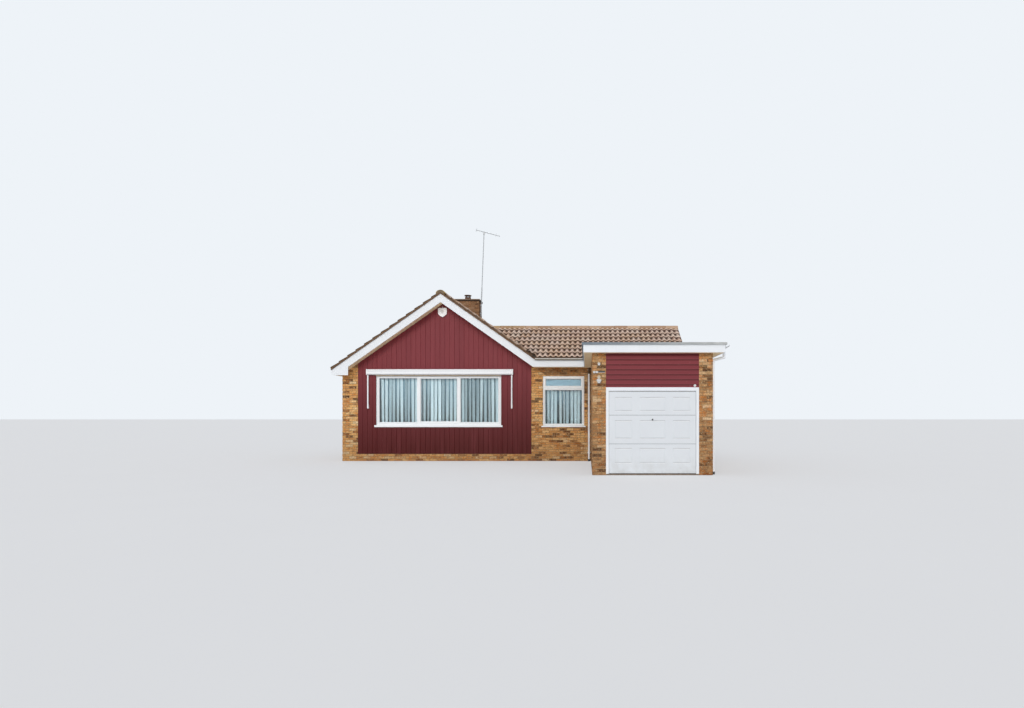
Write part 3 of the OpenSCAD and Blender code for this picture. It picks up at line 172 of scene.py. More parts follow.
class Finish(Shader):
    """A procedural material, kept under its name."""

    def __init__(self, name, roughness, specular=0.5, metallic=0.0):
        self.material = bpy.data.materials.new(name)
        self.material.use_nodes = True
        FINISHES[name] = self.material
        super().__init__(self.material.node_tree)
        self.bsdf = self.tree.nodes["Principled BSDF"]
        self.give(roughness, "Roughness")
        self.give(specular, "Specular IOR Level")
        self.give(metallic, "Metallic")
        self.place = self.add("ShaderNodeTexCoord").outputs["Object"]

    def give(self, value, name):
        self.wire(value, self.bsdf.inputs[name])

    def axis(self, letter, vector=None):
        return self.add("ShaderNodeSeparateXYZ", (vector or self.place,)).outputs[letter]

    def noise(self, scale, detail=4.0, roughness=0.55, distortion=0.0):
        """Cloudy noise; three numbers for its scale stretch it along the axes."""
        place = self.place
        if isinstance(scale, tuple):
            place = self.add("ShaderNodeMapping", {"Vector": place, "Scale": scale}).outputs[0]
            scale = 1.0
        return self.add("ShaderNodeTexNoise", {
            "Vector": place, "Scale": scale, "Detail": detail, "Roughness": roughness,
            "Distortion": distortion}).outputs["Fac"]

    def chance(self, *values):
        """One even random number for each set of three values."""
        vector = self.add("ShaderNodeCombineXYZ", values).outputs[0]
        return self.add("ShaderNodeTexWhiteNoise", {"Vector": vector}, noise_dimensions="3D").outputs["Value"]

    def attribute(self, name):
        return self.add("ShaderNodeAttribute", attribute_name=name).outputs["Fac"]

    def ramp(self, factor, *stops):
        """Colours along a factor, each with its position."""
        node = self.add("ShaderNodeValToRGB", (factor,))
        elements = node.color_ramp.elements
        while len(elements) < len(stops):
            elements.new(0.5)
        for element, (position, colour) in zip(elements, stops):
            element.position = position
            element.color = tone(*colour)
        return node.outputs[0]

    def between(self, value, low, high, start=0.0, end=1.0):
        """A value's place between two others, clamped."""
        return self.add("ShaderNodeMapRange", (value, low, high, start, end)).outputs[0]

    def along(self, letter, low, high, start=0.0, end=1.0):
        """The place between two points on an axis, clamped."""
        return self.between(self.axis(letter), low, high, start, end)

    def mix(self, factor, first, second):
        node = self.add("ShaderNodeMix", data_type="RGBA")
        for index, value in ((0, factor), (6, first), (7, second)):
            self.wire(value, node.inputs[index])
        return node.outputs[2]

    def clouded(self, source, *colours):
        """Colours along a noise or a stored value: two that blend evenly, or any number of stops."""
        factor = self.attribute(source) if isinstance(source, str) else self.noise(*source)
        return self.ramp(factor, *colours) if len(colours[0]) == 2 else self.mix(factor, *colours)

    def layers(self, colour, *patches):
        """Lays patches over a colour: the noise, the two values it fades in between, how far, the tone."""
        for noise, low, high, amount, over in patches:
            colour = self.mix(self.between(self.noise(*noise), low, high, 0.0, amount), colour, over)
        return colour

    def skin(self, colour, height, depth):
        """Ends the finish with its colour and its relief."""
        self.give(colour, "Base Color")
        bump = self.add("ShaderNodeBump", {"Strength": 1.0, "Distance": depth, "Height": height})
        self.give(bump.outputs[0], "Normal")


DIRT = (88, 78, 64)
MORTAR = (152, 122, 86)
BRICK_TONES = ((0.00, (62, 42, 30)), (0.14, (102, 70, 46)), (0.30, (152, 110, 72)),
               (0.55, (184, 138, 90)), (0.80, (206, 162, 114)), (1.00, (236, 204, 162)))
HOUSE_BRICK_TONES = ((0.00, (54, 36, 26)), (0.12, (112, 72, 44)), (0.28, (212, 150, 88)),
                     (0.55, (242, 180, 106)), (0.80, (253, 204, 134)), (1.00, (255, 228, 180)))
OLD_BRICK_TONES = ((0.00, (84, 60, 46)), (0.30, (116, 84, 62)), (0.70, (138, 102, 76)),
                   (1.00, (160, 126, 100)))


def brick_surface(mat, pick, stops):
    """Kiln mottling, sooty flecks, buff patches and sanded grain over a brick's own tone, with dark dashes
    along the courses painted as the shade of deep joints.
    """
    fresh = 0.25 if stops is OLD_BRICK_TONES else 1.0
    colour = mat.layers(
        mat.ramp(pick, *stops),
        ((19, 6, 0.65), 0.40, 0.66, 0.5, (146, 94, 54)),
        ((7.5, 5, 0.6), 0.50, 0.62, 0.6 * fresh, (206, 122, 50)),
        ((27, 5, 0.7), 0.52, 0.66, 0.6 * fresh, (238, 198, 140)),
        ((36, 6, 0.75), 0.56, 0.65, 0.85, (66, 42, 30)),
        # Dark horizontal dashes: painted shade standing for the shadows in deep joints
        (((7, 7, 34), 5, 0.7), 0.56, 0.64, 0.8, (66, 42, 28)),
        (((12, 12, 40), 4, 0.7), 0.59, 0.67, 0.7 * fresh, (248, 214, 160)),
        ((210, 3, 0.6), 0.58, 0.70, 0.5, (236, 204, 158)))
    colour = mat.mix(mat.along("Z", 0.2, 1.5, 0.34, 0.0), colour, (96, 64, 42))
    return mat.layers(colour, ((1.3, 6, 0.65), 0.52, 0.75, 0.14, DIRT))


def brick_face(name, stops):
    """The face of single bricks, whose tone is stored on the mesh."""
    mat = Finish(name, 0.9, 0.25)
    colour = brick_surface(mat, mat.attribute("tone"), stops)
    mat.skin(colour, mat.noise(120, 6, 0.75), 0.0042)


def brick_wall(name, stops):
    """Whole brickwork in half bond, for the faces that carry no single bricks."""
    mat = Finish(name, 0.92, 0.2)
    normal = mat.add("ShaderNodeNewGeometry").outputs["Normal"]
    side = mat.math("GREATER_THAN", mat.math("ABSOLUTE", mat.axis("X", normal)), 0.5)
    across = mat.add("ShaderNodeMix", data_type="FLOAT")
    for index, value in ((0, side), (2, mat.axis("X")), (3, mat.axis("Y"))):
        mat.wire(value, across.inputs[index])
    up = mat.math("DIVIDE", mat.axis("Z"), COURSE)
    row = mat.math("FLOOR", up)
    shift = mat.math("MULTIPLY", mat.math("MODULO", row, 2.0), 0.5)
    along = mat.math("SUBTRACT", mat.math("DIVIDE", across.outputs[0], BRICK_PITCH), shift)
    pick = mat.chance(mat.math("FLOOR", along), row, side)
    solid = mat.math("MULTIPLY", *(
        mat.between(mat.math("PINGPONG", place, 0.5), JOINT / pitch * 0.5, JOINT / pitch * 0.9)
        for place, pitch in ((up, COURSE), (along, BRICK_PITCH))))
    mortar = mat.clouded((60, 4), MORTAR, (142, 124, 98))
    grain = mat.math("MULTIPLY", mat.noise(160, 5, 0.7), 0.3)
    relief = mat.math("ADD", mat.math("MULTIPLY", solid, 0.7), grain)
    mat.skin(mat.mix(solid, mortar, brick_surface(mat, pick, stops)), relief, 0.006)


def maroon_paint(name, letter, pitch, start):
    """Painted boards in slightly different shades, with grain along them; upright ones fade at the foot, and
    level ones carry painted shade under each lap and a painted highlight along each board's foot.
    """
    mat = Finish(name, 0.5, 0.22)
    upright = letter == "X"
    place = mat.math("DIVIDE", mat.math("SUBTRACT", mat.axis(letter), start), pitch)
    pick = mat.chance(mat.math("FLOOR", place), 3.0, 7.0)
    grain = ((60, 60, 2) if upright else (2, 60, 60), 6, 0.7)
    colour = mat.ramp(pick, (0.0, (126, 51, 57)), (0.5, (129, 52, 58)), (1.0, (132, 54, 60)))
    colour = mat.layers(colour, (grain, 0.5, 0.8, 0.25, (98, 34, 40)))
    if upright:
        colour = mat.mix(mat.along("Z", 0.4, 3.2, 0.95, 0.0), colour, (74, 3, 0))
        colour = mat.layers(colour, (((9, 9, 0.5), 5, 0.6), 0.5, 0.75, 0.2, (146, 72, 76)))
    else:
        # Level boards: painted shade in the hollow under the lap above, and a painted highlight along the
        # board's foot
        up = mat.math("FRACT", place)
        for span, over in (((0.66, 0.78, 0.0, 0.55), (92, 32, 36)), ((0.86, 0.95, 0.0, 0.9), (50, 14, 18)),
                           ((0.02, 0.2, 0.35, 0.0), (152, 78, 80))):
            colour = mat.mix(mat.between(up, *span), colour, over)
    lines = mat.noise(*grain)
    mat.give(mat.between(lines, 0.3, 0.8, 0.42, 0.62), "Roughness")
    mat.skin(mat.layers(colour, ((40, 3, 0.6), 0.70, 0.74, 0.6, (196, 140, 134))), lines, 0.0012)


def roof_tile():
    """Concrete tiles: painted highlights on the noses, painted shade in the pans under the laps, lichen, and
    moss at the front verge.
    """
    mat = Finish("roof_tile", 0.88, 0.2)
    pick = mat.attribute("tone")
    shade = mat.ramp(pick, (0.0, (186, 152, 130)), (0.4, (212, 180, 158)), (0.7, (228, 198, 174)),
                     (1.0, (242, 216, 192)))
    hue = mat.ramp(mat.chance(pick, 5.0, 2.0), (0.0, (204, 160, 142)), (0.35, (214, 172, 128)),
                   (0.65, (226, 196, 184)), (1.0, (238, 226, 212)))
    colour = mat.layers(
        mat.mix(0.5, shade, hue),
        ((14, 6, 0.7), 0.42, 0.66, 0.45, (178, 138, 112)),
        ((42, 5, 0.7), 0.58, 0.68, 0.6, (236, 222, 200)),
        ((2.4, 7, 0.72), 0.55, 0.70, 0.5, (158, 136, 94)))
    # Painted light stored on the tiles: over 1 a painted highlight on the noses, under 1 painted shade in the
    # pans
    nose_highlight_pan_shade = mat.attribute("tile_light_shade")
    colour = mat.mix(mat.between(nose_highlight_pan_shade, 1.0, 2.0, 0.0, 0.8), colour, (250, 230, 212))
    colour = mat.mix(mat.between(nose_highlight_pan_shade, 0.0, 1.0, 0.97, 0.0), colour, (50, 30, 20))
    verge = mat.math("MULTIPLY", mat.along("Y", VERGE_Y0 + 0.06, VERGE_Y0 + 0.30, 0.85, 0.0),
                     mat.along("X", HOUSE_X1 - 0.40, HOUSE_X1 - 0.20, 1.0, 0.0))
    moss = mat.clouded((9, 5, 0.7), (104, 82, 48), (78, 58, 40))
    mat.skin(mat.mix(verge, colour, moss), mat.noise(110, 5, 0.7), 0.003)


def ridge_clay():
    """Pale ridge tiles with yellow-brown moss in patches."""
    mat = Finish("ridge_clay", 0.92, 0.2)
    colour = mat.clouded("tone", (0.0, (184, 148, 122)), (1.0, (222, 190, 162)))
    moss = mat.math("MULTIPLY", mat.between(mat.noise(9, 7, 0.75), 0.42, 0.6, 0.0, 0.85),
                    mat.along("X", HOUSE_X1 - 2.0, HOUSE_X1, 1.0, 0.12))
    verge = mat.along("Y", VERGE_Y0 + 0.05, VERGE_Y0 + 0.35, 0.75, 0.0)
    colour = mat.mix(mat.math("MAXIMUM", moss, verge), colour, (162, 134, 66))
    mat.skin(mat.layers(colour, ((60, 4), 0.6, 0.7, 0.5, (104, 86, 64))), mat.noise(70, 6, 0.75), 0.006)


def slab_concrete():
    """The chimney's slab: a pale weathered top edge over a dark lower face that is partly grime and partly
    painted shade.
    """
    mat = Finish("slab_concrete", 0.9, 0.2)
    low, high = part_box("chimney_cap")
    up = mat.math("ADD", mat.axis("Z"), mat.math("MULTIPLY", mat.noise(9, 5), 0.012))
    pale = mat.clouded((20, 5, 0.7), (166, 144, 124), (136, 116, 98))
    # Dark lower face: partly grime, partly painted shade under the slab's lip
    grime_and_shade = mat.clouded((14, 5, 0.7), (74, 58, 46), (46, 36, 30))
    top = mat.between(up, low.z + 0.66 * (high.z - low.z), low.z + 0.84 * (high.z - low.z))
    mat.skin(mat.mix(top, grime_and_shade, pale), mat.noise(60, 5, 0.7), 0.002)


def grey_trim():
    """Felt edging, slate grey and damp at its left end and bleached to the right."""
    mat = Finish("grey_trim", 0.7, 0.3)
    run = ((5, 5, 30), 6, 0.65)
    dark = mat.clouded(run, (0.35, (104, 114, 124)), (0.7, (136, 146, 154)))
    pale = mat.clouded(run, (0.35, (172, 174, 172)), (0.7, (206, 208, 206)))
    mat.skin(mat.mix(mat.along("X", GARAGE_X - 0.3, RIGHT_X), dark, pale), mat.noise(50, 5, 0.7), 0.001)


def door_paint():
    """Powder coat on pressed steel, with a faint orange-peel surface and road film at its foot."""
    mat = Finish("door_paint", 0.38)
    base = mat.clouded((2.0, 4), (228, 232, 235), (222, 226, 230))
    film = mat.math("MULTIPLY", mat.along("Z", 0.06, 0.5, 0.30, 0.0), mat.between(mat.noise(6, 6), 0.35, 0.7))
    mat.give(mat.between(mat.noise(14, 4), 0.3, 0.7, 0.32, 0.46), "Roughness")
    mat.skin(mat.mix(film, base, (168, 164, 152)), mat.noise(260, 2), 0.0004)


def zinc(name, colour, roughness, metallic):
    """Spangled metal with patches of brown dust."""
    mat = Finish(name, roughness, 0.5, metallic)
    spangle = mat.add("ShaderNodeTexVoronoi", {"Vector": mat.place, "Scale": 60})
    mixed = mat.mix(spangle.outputs["Distance"], colour, (132, 136, 140))
    mat.skin(mat.layers(mixed, ((9, 6), 0.6, 0.75, 0.5, (118, 100, 82))), mat.noise(80, 3), 0.0005)


def glazing():
    """Clear double glazing that lets lamps through."""
    mat = Finish("glazing", 0.02)
    mat.give(mat.clouded((5, 5, 0.6), (228, 240, 244), (218, 234, 240)), "Base Color")
    mat.give(1.0, "Transmission Weight")
    mat.give(1.5, "IOR")
    clear = mat.add("ShaderNodeBsdfTransparent")
    clear.inputs["Color"].default_value = (0.86, 0.92, 0.94, 1.0)
    shadow = mat.add("ShaderNodeLightPath").outputs["Is Shadow Ray"]
    mat.blend(shadow, mat.bsdf, clear, mat.tree.nodes["Material Output"])


def room_lining():
    """What the gaps of the blinds show, painted on a sheet: painted daylight grey above, painted shade and a
    green painted reflection below, and brighter painted light to the right.
    """
    mat = Finish("lining", 0.9, 0.1)
    folds = mat.noise((11, 11, 0.8), 4, 0.6)
    dim = mat.between(mat.math("ADD", mat.axis("Z"), mat.math("MULTIPLY", folds, -1.6)), 0.8, 1.9)
    low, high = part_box("wide_window_blinds")
    third = low.x + 0.64 * (high.x - low.x)
    right = mat.math("MULTIPLY", mat.along("X", third, third + 0.1, 0.0, 0.75),
                     mat.along("X", high.x, high.x + 0.1, 1.0, 0.0))
    # Painted light of the room: brighter to the right, dark green-grey painted shade and reflection below
    bright = mat.mix(right, (150, 180, 196), (70, 92, 96))
    mat.skin(mat.mix(dim, (38, 50, 48), bright), folds, 0.004)


def gutter_plastic():
    """White gutters, weathered to a dusty grey along the front of the link, where their undersides are
    painted darker as shade.
    """
    mat = Finish("gutter_plastic", 0.45, 0.45)
    run = ((14, 14, 3), 6, 0.7)
    white = mat.clouded((3, 4), (234, 236, 238), (220, 222, 224))
    grey = mat.clouded(run, (0.3, (204, 202, 194)), (0.7, (232, 230, 224)))
    zone = mat.math("SUBTRACT", mat.along("X", GARAGE_X - 2.4, GARAGE_X - 2.2),
                    mat.along("X", GARAGE_X - 0.2, GARAGE_X))
    zone = mat.math("MULTIPLY", zone, mat.along("Y", FRONT_Y - 0.1, FRONT_Y, 1.0, 0.0))
    # Along the link's front, faces that look down get painted shade
    normal = mat.add("ShaderNodeNewGeometry").outputs["Normal"]
    under = mat.between(mat.axis("Z", normal), -0.75, -0.15, 1.0, 0.0)
    grey = mat.mix(under, grey, (128, 122, 106))
    white = mat.layers(white, (run, 0.5, 0.8, 0.25, (176, 170, 156)))
    mat.skin(mat.mix(zone, white, grey), mat.noise(40, 4), 0.0008)


def surface(name, roughness, specular, base, patches, grain, depth, metallic=0.0, gloss=None):
    """A clouded base with patches over it and a fine grain, for what has no pattern of its own."""
    mat = Finish(name, roughness, specular, metallic)
    if gloss:
        mat.give(mat.between(mat.noise(*gloss[0]), *gloss[1:]), "Roughness")
    mat.skin(mat.layers(mat.clouded(*base), *patches), mat.noise(*grain), depth)
    return mat


def plain(name, colour):
    """One colour with a little unevenness, for small parts."""
    mat = Finish(name, 0.5, 0.3)
    mat.skin(mat.layers(colour, ((12, 4), 0.35, 0.7, 0.12, (96, 90, 82))), mat.noise(80, 3), 0.0003)


def make_finishes():
    """Makes every material of the house."""
    brick_face("brick_face", BRICK_TONES)
    brick_face("house_brick_face", HOUSE_BRICK_TONES)
    brick_face("old_brick_face", OLD_BRICK_TONES)
    brick_wall("brick_wall", BRICK_TONES)
    brick_wall("old_brick_wall", OLD_BRICK_TONES)
    maroon_paint("clad_paint", "X", BOARD_PITCH, CLAD_X0)
    maroon_paint("lap_paint", "Z", LAP_PITCH, LAP_FOOT_Z)
    zinc("zinc", (176, 180, 182), 0.42, 0.85)
    zinc("dull_alloy", (226, 230, 232), 0.5, 0.15)
    for make in (roof_tile, ridge_clay, slab_concrete, grey_trim, door_paint, glazing, room_lining,
                 gutter_plastic):
        make()

    # White timber and plastic, with a little grime washed down
    for name, colour, roughness, dirt in (
            ("white_board", (234, 238, 242), 0.42, 0.12), ("white_plastic", (252, 253, 254), 0.3, 0.05),
            ("frame_plastic", (252, 255, 255), 0.3, 0.0)):
        surface(name, roughness, 0.5, ((3.0, 4), colour, (246, 249, 251)),
                [(((16, 16, 1.2), 5, 0.65), 0.55, 0.8, dirt, (206, 202, 192))], (42, 4, 0.6), 0.0006,
                gloss=((9, 4), 0.3, 0.7, roughness - 0.08, roughness + 0.12))

    # Concrete with fine dark pits and broad stains
    for name, scale, dark, light in (("floor_concrete", 7.0, (112, 98, 86), (150, 134, 118)),
                                     ("cap_concrete", 11.0, (112, 102, 86), (176, 164, 142))):
        surface(name, 0.9, 0.25, ((scale, 8, 0.7), (0.3, dark), (0.7, light)),
                [((90, 3), 0.62, 0.7, 0.5, (86, 80, 72)), ((2.5, 6, 0.65), 0.52, 0.75, 0.4, DIRT)],
                (70, 8, 0.7), 0.003)

    # Soffit paint made very pale, painted lighter to stand in for the light the undersides lack, mineral felt
    # over damp patches, and the upright weave of the blinds
    grain, grit, weave = ((45, 4, 45), 6, 0.7), (420, 2, 0.5), ((900, 900, 260), 3, 0.6)
    surface("tan_board", 0.7, 0.3, (grain, (0.25, (252, 228, 184)), (0.75, (255, 241, 204))),
            [((2.0, 6, 0.65), 0.52, 0.75, 0.15, DIRT)], grain, 0.0012)
    felt = (grit, (0.35, (84, 86, 84)), (0.5, (112, 114, 110)), (0.7, (150, 150, 144)))
    surface("roof_felt", 0.95, 0.15, felt, [((1.1, 6, 0.65), 0.45, 0.7, 0.5, DIRT)], grit, 0.002)
    vanes = ("tone", (0.0, (176, 186, 190)), (0.35, (216, 222, 224)), (0.75, (246, 248, 248)),
             (1.0, (255, 255, 255)))
    shade = [(weave, 0.4, 0.7, 0.15, (206, 212, 216))]
    surface("blind_fabric", 0.85, 0.2, vanes, shade, weave, 0.0006).give(0.15, "Sheen Weight")

    wood = ((3, 60, 60), 6, 0.7, 0.6)
    for name, roughness, specular, cloud, dark, light, grain, depth, metallic in (
            ("sawn_wood", 0.8, 0.2, wood, (150, 112, 70), (206, 168, 120), wood, 0.0015, 0.0),
            ("mortar_bed", 0.95, 0.15, (18, 6, 0.7), (96, 82, 66), (150, 134, 110), (90, 6, 0.7), 0.004, 0.0),
            ("tile_edge", 0.95, 0.15, (26, 6, 0.7), (86, 66, 52), (142, 112, 88), (60, 6, 0.7), 0.004, 0.0),
            ("soot_clay", 0.85, 0.25, (16, 6, 0.7), (58, 44, 38), (124, 92, 74), (60, 5), 0.002, 0.0),
            ("lead", 0.62, 0.4, (12, 6, 0.7), (92, 94, 96), (142, 144, 144), (24, 5), 0.003, 0.35)):
        surface(name, roughness, specular, (cloud, (0.3, dark), (0.7, light)), (), grain, depth, metallic)
    surface("dark_groove", 0.8, 0.1, ((20, 4), (54, 20, 22), (38, 14, 16)), (), (60, 3), 0.0005)
    surface("dark_plastic", 0.5, 0.45, ((30, 4), (44, 44, 46), (70, 68, 66)), (), (120, 3), 0.0005)
    surface("film", 0.6, 0.4, ((4, 3), (166, 186, 198), (152, 176, 190)), (), (90, 3, 0.5), 0.001)
    for name, colour in {
            "old_lead": (84, 70, 58), "pale_grey": (228, 228, 226), "seal_grey": (128, 132, 134),
            "shaded_plastic": (118, 92, 66), "door_seam": (142, 146, 150), "shadow_line": (150, 152, 152),
            "buff_plastic": (206, 184, 152), "press_shade": (192, 195, 198),
            "press_highlight": (250, 251, 252)}.items():
        plain(name, colour)


# The nodes that each finish covers; the walls, which aren't named here, are brickwork
FINISH_NODES = {
    "lap_paint": "shiplap_panel",
    "dark_groove": "gable_cladding",
    "sawn_wood": "garage_beam flat_roof_joists",
    "floor_concrete": "house_floor garage_floor",
    "cap_concrete": "door_step",
    "tile_edge": "main_roof_left main_roof_right link_roof_front link_roof_rear",
    "mortar_bed": "main_ridge_tiles link_ridge_tiles",
    "white_board": "front_bargeboards rear_bargeboards eaves_boards flat_roof_board garage_door_frame",
    "tan_board": "verge_soffits eaves_soffits flat_roof_soffit",
    "gutter_plastic": "gutters",
    "roof_felt": "flat_roof_deck",
    "grey_trim": "flat_roof_trim",
    "frame_plastic": "wide_window small_window side_windows rear_windows",
    "white_plastic": "downpipes entrance_door awning_case awning_arms alarm_box",
    "old_brick_wall": "chimney_stack",
    "slab_concrete": "chimney_cap",
    "soot_clay": "chimney_pot",
    "dull_alloy": "aerial_mast aerial_array",
    "pale_grey": "garage_lamps",
    "zinc": "garage_door_tracks garage_door_arms garage_door_gear",
    "door_paint": "garage_door_leaf",
    "glazing": "wide_window_glass small_window_glass side_window_glass rear_window_glass",
    "blind_fabric": "wide_window_blinds small_window_blinds",
}


def dress_nodes():
    """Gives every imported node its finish."""
    chosen = {node: finish for finish, nodes in FINISH_NODES.items() for node in nodes.split()}
    for name, node in NODES.items():
        material = FINISHES[chosen.get(name, "brick_wall")]
        if not node.material_slots:
            node.data.materials.append(material)
        for slot in node.material_slots:
            slot.material = material


# Mesh building

def show(mesh, finish, slot, body, smooth):
    """Puts a mesh in the scene as a piece that rides on a body."""
    mesh.materials.append(FINISHES[finish])
    if smooth is not None:
        mesh.shade_smooth()
        mesh.set_sharp_from_angle(angle=math.radians(smooth))
    piece = bpy.data.objects.new(mesh.name, mesh)
    bpy.context.scene.collection.objects.link(piece)
    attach(piece, body)
    return piece


class Parts:
    """The vertices and faces of one joined mesh, with a tone for each solid in it."""

    def __init__(self):
        self.verts = []
        self.faces = []
        self.tones = []

    def add(self, verts, faces, shade=0.5):
        start = len(self.verts)
        self.verts.extend(verts)
        self.faces.extend([tuple(start + i for i in face) for face in faces])
        self.tones.extend([shade] * len(verts))

    def box(self, low, high, chamfer=0.0, shade=0.5):
        """A box whose edges are cut back a little."""
        low, high = Vector(low), Vector(high)
        size = high - low
        shape = bmesh.new()
        bmesh.ops.create_cube(shape, size=1.0)
        for vert in shape.verts:
            vert.co = Vector((low[i] + size[i] * (vert.co[i] + 0.5) for i in range(3)))
        if chamfer:
            bmesh.ops.bevel(shape, geom=shape.edges[:], offset=chamfer, segments=1, affect="EDGES")
        shape.verts.index_update()
        self.add([vert.co[:] for vert in shape.verts],
                 [[vert.index for vert in face.verts] for face in shape.faces], shade)
        shape.free()

    def piece(self, name, finish, slot="white_plastic", body="house", smooth=None):
        """Makes the joined mesh, and lets it ride on a body."""
        mesh = bpy.data.meshes.new(name)
        mesh.from_pydata(self.verts, [], self.faces)
        mesh.validate()
        tones = mesh.attributes.new("tone", "FLOAT", "POINT")
        tones.data.foreach_set("value", np.array(self.tones, np.float32))
        return show(mesh, finish, slot, body, smooth)


def strips(rows, n, closed=True):
    """The faces between neighbouring rows of n vertices each."""
    return [(a + i, a + (i + 1) % n, a + n + (i + 1) % n, a + n + i)
            for a in range(0, (rows - 1) * n, n) for i in range(n if closed else n - 1)]


def circle(sides):
    """The points of a circle of radius 1."""
    return [(math.cos(2 * math.pi * i / sides), math.sin(2 * math.pi * i / sides)) for i in range(sides)]


def turned(parts, profile, sides, place, foot=False):
    """A round part, given by (distance along its axis, radius), with a cap at its end, maybe at its foot."""
    verts = [place(r * a, r * b, along) for along, r in profile for a, b in circle(sides)]
    faces = strips(len(profile), sides)
    if foot:
        faces.append(tuple(range(sides))[::-1])
    faces.append(tuple(range(len(verts) - sides, len(verts))))
    parts.add(verts, faces)


def collar(parts, x, y, radius, z0, z1):
    """A short sleeve round an upright pipe, its edges rounded off."""
    edge = 0.002
    profile = [(z0, radius - edge), (z0 + edge, radius), (z1 - edge, radius), (z1, radius - edge)]
    turned(parts, profile, 20, lambda a, b, z: (x + a, y + b, z), foot=True)


def cover(parts, x, y, z, profile, sides):
    """A round cover or knob that stands out of a face that looks to the front."""
    turned(parts, profile, sides, lambda a, b, out: (x + a, y - out, z + b))


def wall_place(facing, plane):
    """Turns a point on a wall (u along it, v up, d out of it) into a place in the frame."""
    places = {
        "-y": lambda u, v, d: (u, plane - d, v),
        "+y": lambda u, v, d: (-u, plane + d, v),
        "+x": lambda u, v, d: (plane + d, u, v),
        "-x": lambda u, v, d: (plane - d, -u, v),
    }
    return places[facing]


def wall_sign(facing):
    return -1 if facing in ("+y", "-x") else 1


def clipped(polygon, a, b, limit):
    """The part of a convex outline where a * u + b * v is at most the limit."""
    kept = []
    for i, point in enumerate(polygon):
        last = polygon[i - 1]
        here = a * point[0] + b * point[1] - limit
        before = a * last[0] + b * last[1] - limit
        if (here <= 0) != (before <= 0):
            share = before / (before - here)
            kept.append((last[0] + share * (point[0] - last[0]), last[1] + share * (point[1] - last[1])))
        if here <= 0:
            kept.append(point)
    return kept


def without(rect, hole):
    """What a hole leaves of a rectangle, as rectangles."""
    u0, u1, v0, v1 = rect
    a0, a1, b0, b1 = hole
    if a1 <= u0 or a0 >= u1 or b1 <= v0 or b0 >= v1:
        return [rect]
    inner = (max(u0, a0), min(u1, a1))
    left = (u0, a0, v0, v1), (a1, u1, v0, v1), (*inner, v0, b0), (*inner, b1, v1)
    return [part for part in left if part[0] < part[1] and part[2] < part[3]]


def area(polygon):
    return 0.5 * sum(polygon[i - 1][0] * p[1] - p[0] * polygon[i - 1][1] for i, p in enumerate(polygon))


def plate(parts, polygon, place, out, chamfer, shade):
    """One brick or board: a plate that stands out of its wall, its face edges chamfered."""
    middle_u = sum(p[0] for p in polygon) / len(polygon)
    middle_v = sum(p[1] for p in polygon) / len(polygon)
    inner = [(u - math.copysign(chamfer, u - middle_u), v - math.copysign(chamfer, v - middle_v))
             for u, v in polygon]
    n = len(polygon)
    verts = [place(u, v, d) for edge, d in ((polygon, -0.002), (polygon, out - chamfer), (inner, out))
             for u, v in edge]
    parts.add(verts, [tuple(range(2 * n, 3 * n)), *strips(3, n)], shade)


def lay(parts, rect, holes, slopes, place, out, chamfer, shade):
    """Lays one plate, cut round the holes and under the slopes."""
    pieces = [rect]
    for hole in holes:
        pieces = [left for piece in pieces for left in without(piece, hole)]
    for piece in pieces:
        if piece[1] - piece[0] < LEAST_CUT or piece[3] - piece[2] < LEAST_CUT:
            continue
        polygon = outline(piece)
        for slope in slopes:
            polygon = clipped(polygon, *slope)
        if len(polygon) > 2 and area(polygon) > LEAST_CUT * LEAST_CUT:
            plate(parts, polygon, place, out, chamfer, shade)


def brickwork(parts, chance, facing, plane, span, top, holes=(), slopes=(), bottom=0.0):
    """Single bricks in half bond over one face of a wall."""
    place = wall_place(facing, plane)
    sign = wall_sign(facing)
    lo, hi = sorted(sign * end for end in span)
    holes = [tuple(sorted((sign * a, sign * b))) + (c, d) for a, b, c, d in holes]
    slopes = [(sign * a, b, limit) for a, b, limit in slopes]
    for row in range(int(bottom / COURSE), math.ceil(top / COURSE)):
        v0 = max(row * COURSE + JOINT / 2, bottom)
        v1 = min((row + 1) * COURSE - JOINT / 2, top)
        shift = sign * BRICK_PITCH * 0.5 * (row % 2)
        for column in range(math.floor((lo - shift) / BRICK_PITCH), math.ceil((hi - shift) / BRICK_PITCH)):
            u0 = max(column * BRICK_PITCH + shift + JOINT / 2, lo)
            u1 = min((column + 1) * BRICK_PITCH + shift - JOINT / 2, hi)
            shade = brick_shade(chance) if u1 - u0 > SHORT_BRICK else chance.uniform(0.3, 0.9)
            out = BRICK_OUT + chance.uniform(-0.0015, 0.001)
            wobble = chance.uniform(-0.0012, 0.0012)
            if u1 - u0 > LEAST_BRICK and v1 - v0 > LEAST_CUT:
                lay(parts, (u0, u1, v0 + wobble, v1 + wobble), holes, slopes, place, out, 0.003, shade)


def brick_shade(chance):
    """Most bricks are orange-brown, some are burnt dark and some are pale."""
    kind = chance.random()
    if kind < 0.2:
        return chance.uniform(0.0, 0.2)
    if kind > 0.84:
        return chance.uniform(0.82, 1.0)
    return chance.uniform(0.28, 0.82)


def under_roof(apex_z, tan, ridge, drop):
    """Limits that keep a wall face under a roof, this far below its slabs."""
    top = apex_z - drop
    return [(tan, 1.0, top + tan * ridge), (-tan, 1.0, top - tan * ridge)]


def under_main(drop):
    return under_roof(MAIN_APEX_Z, MAIN_TAN, RIDGE_X, drop)


def corners_of(points):
    """The low and the high corner of a set of points."""
    return tuple(Vector([pick(co[i] for co in points) for i in range(3)]) for pick in (min, max))


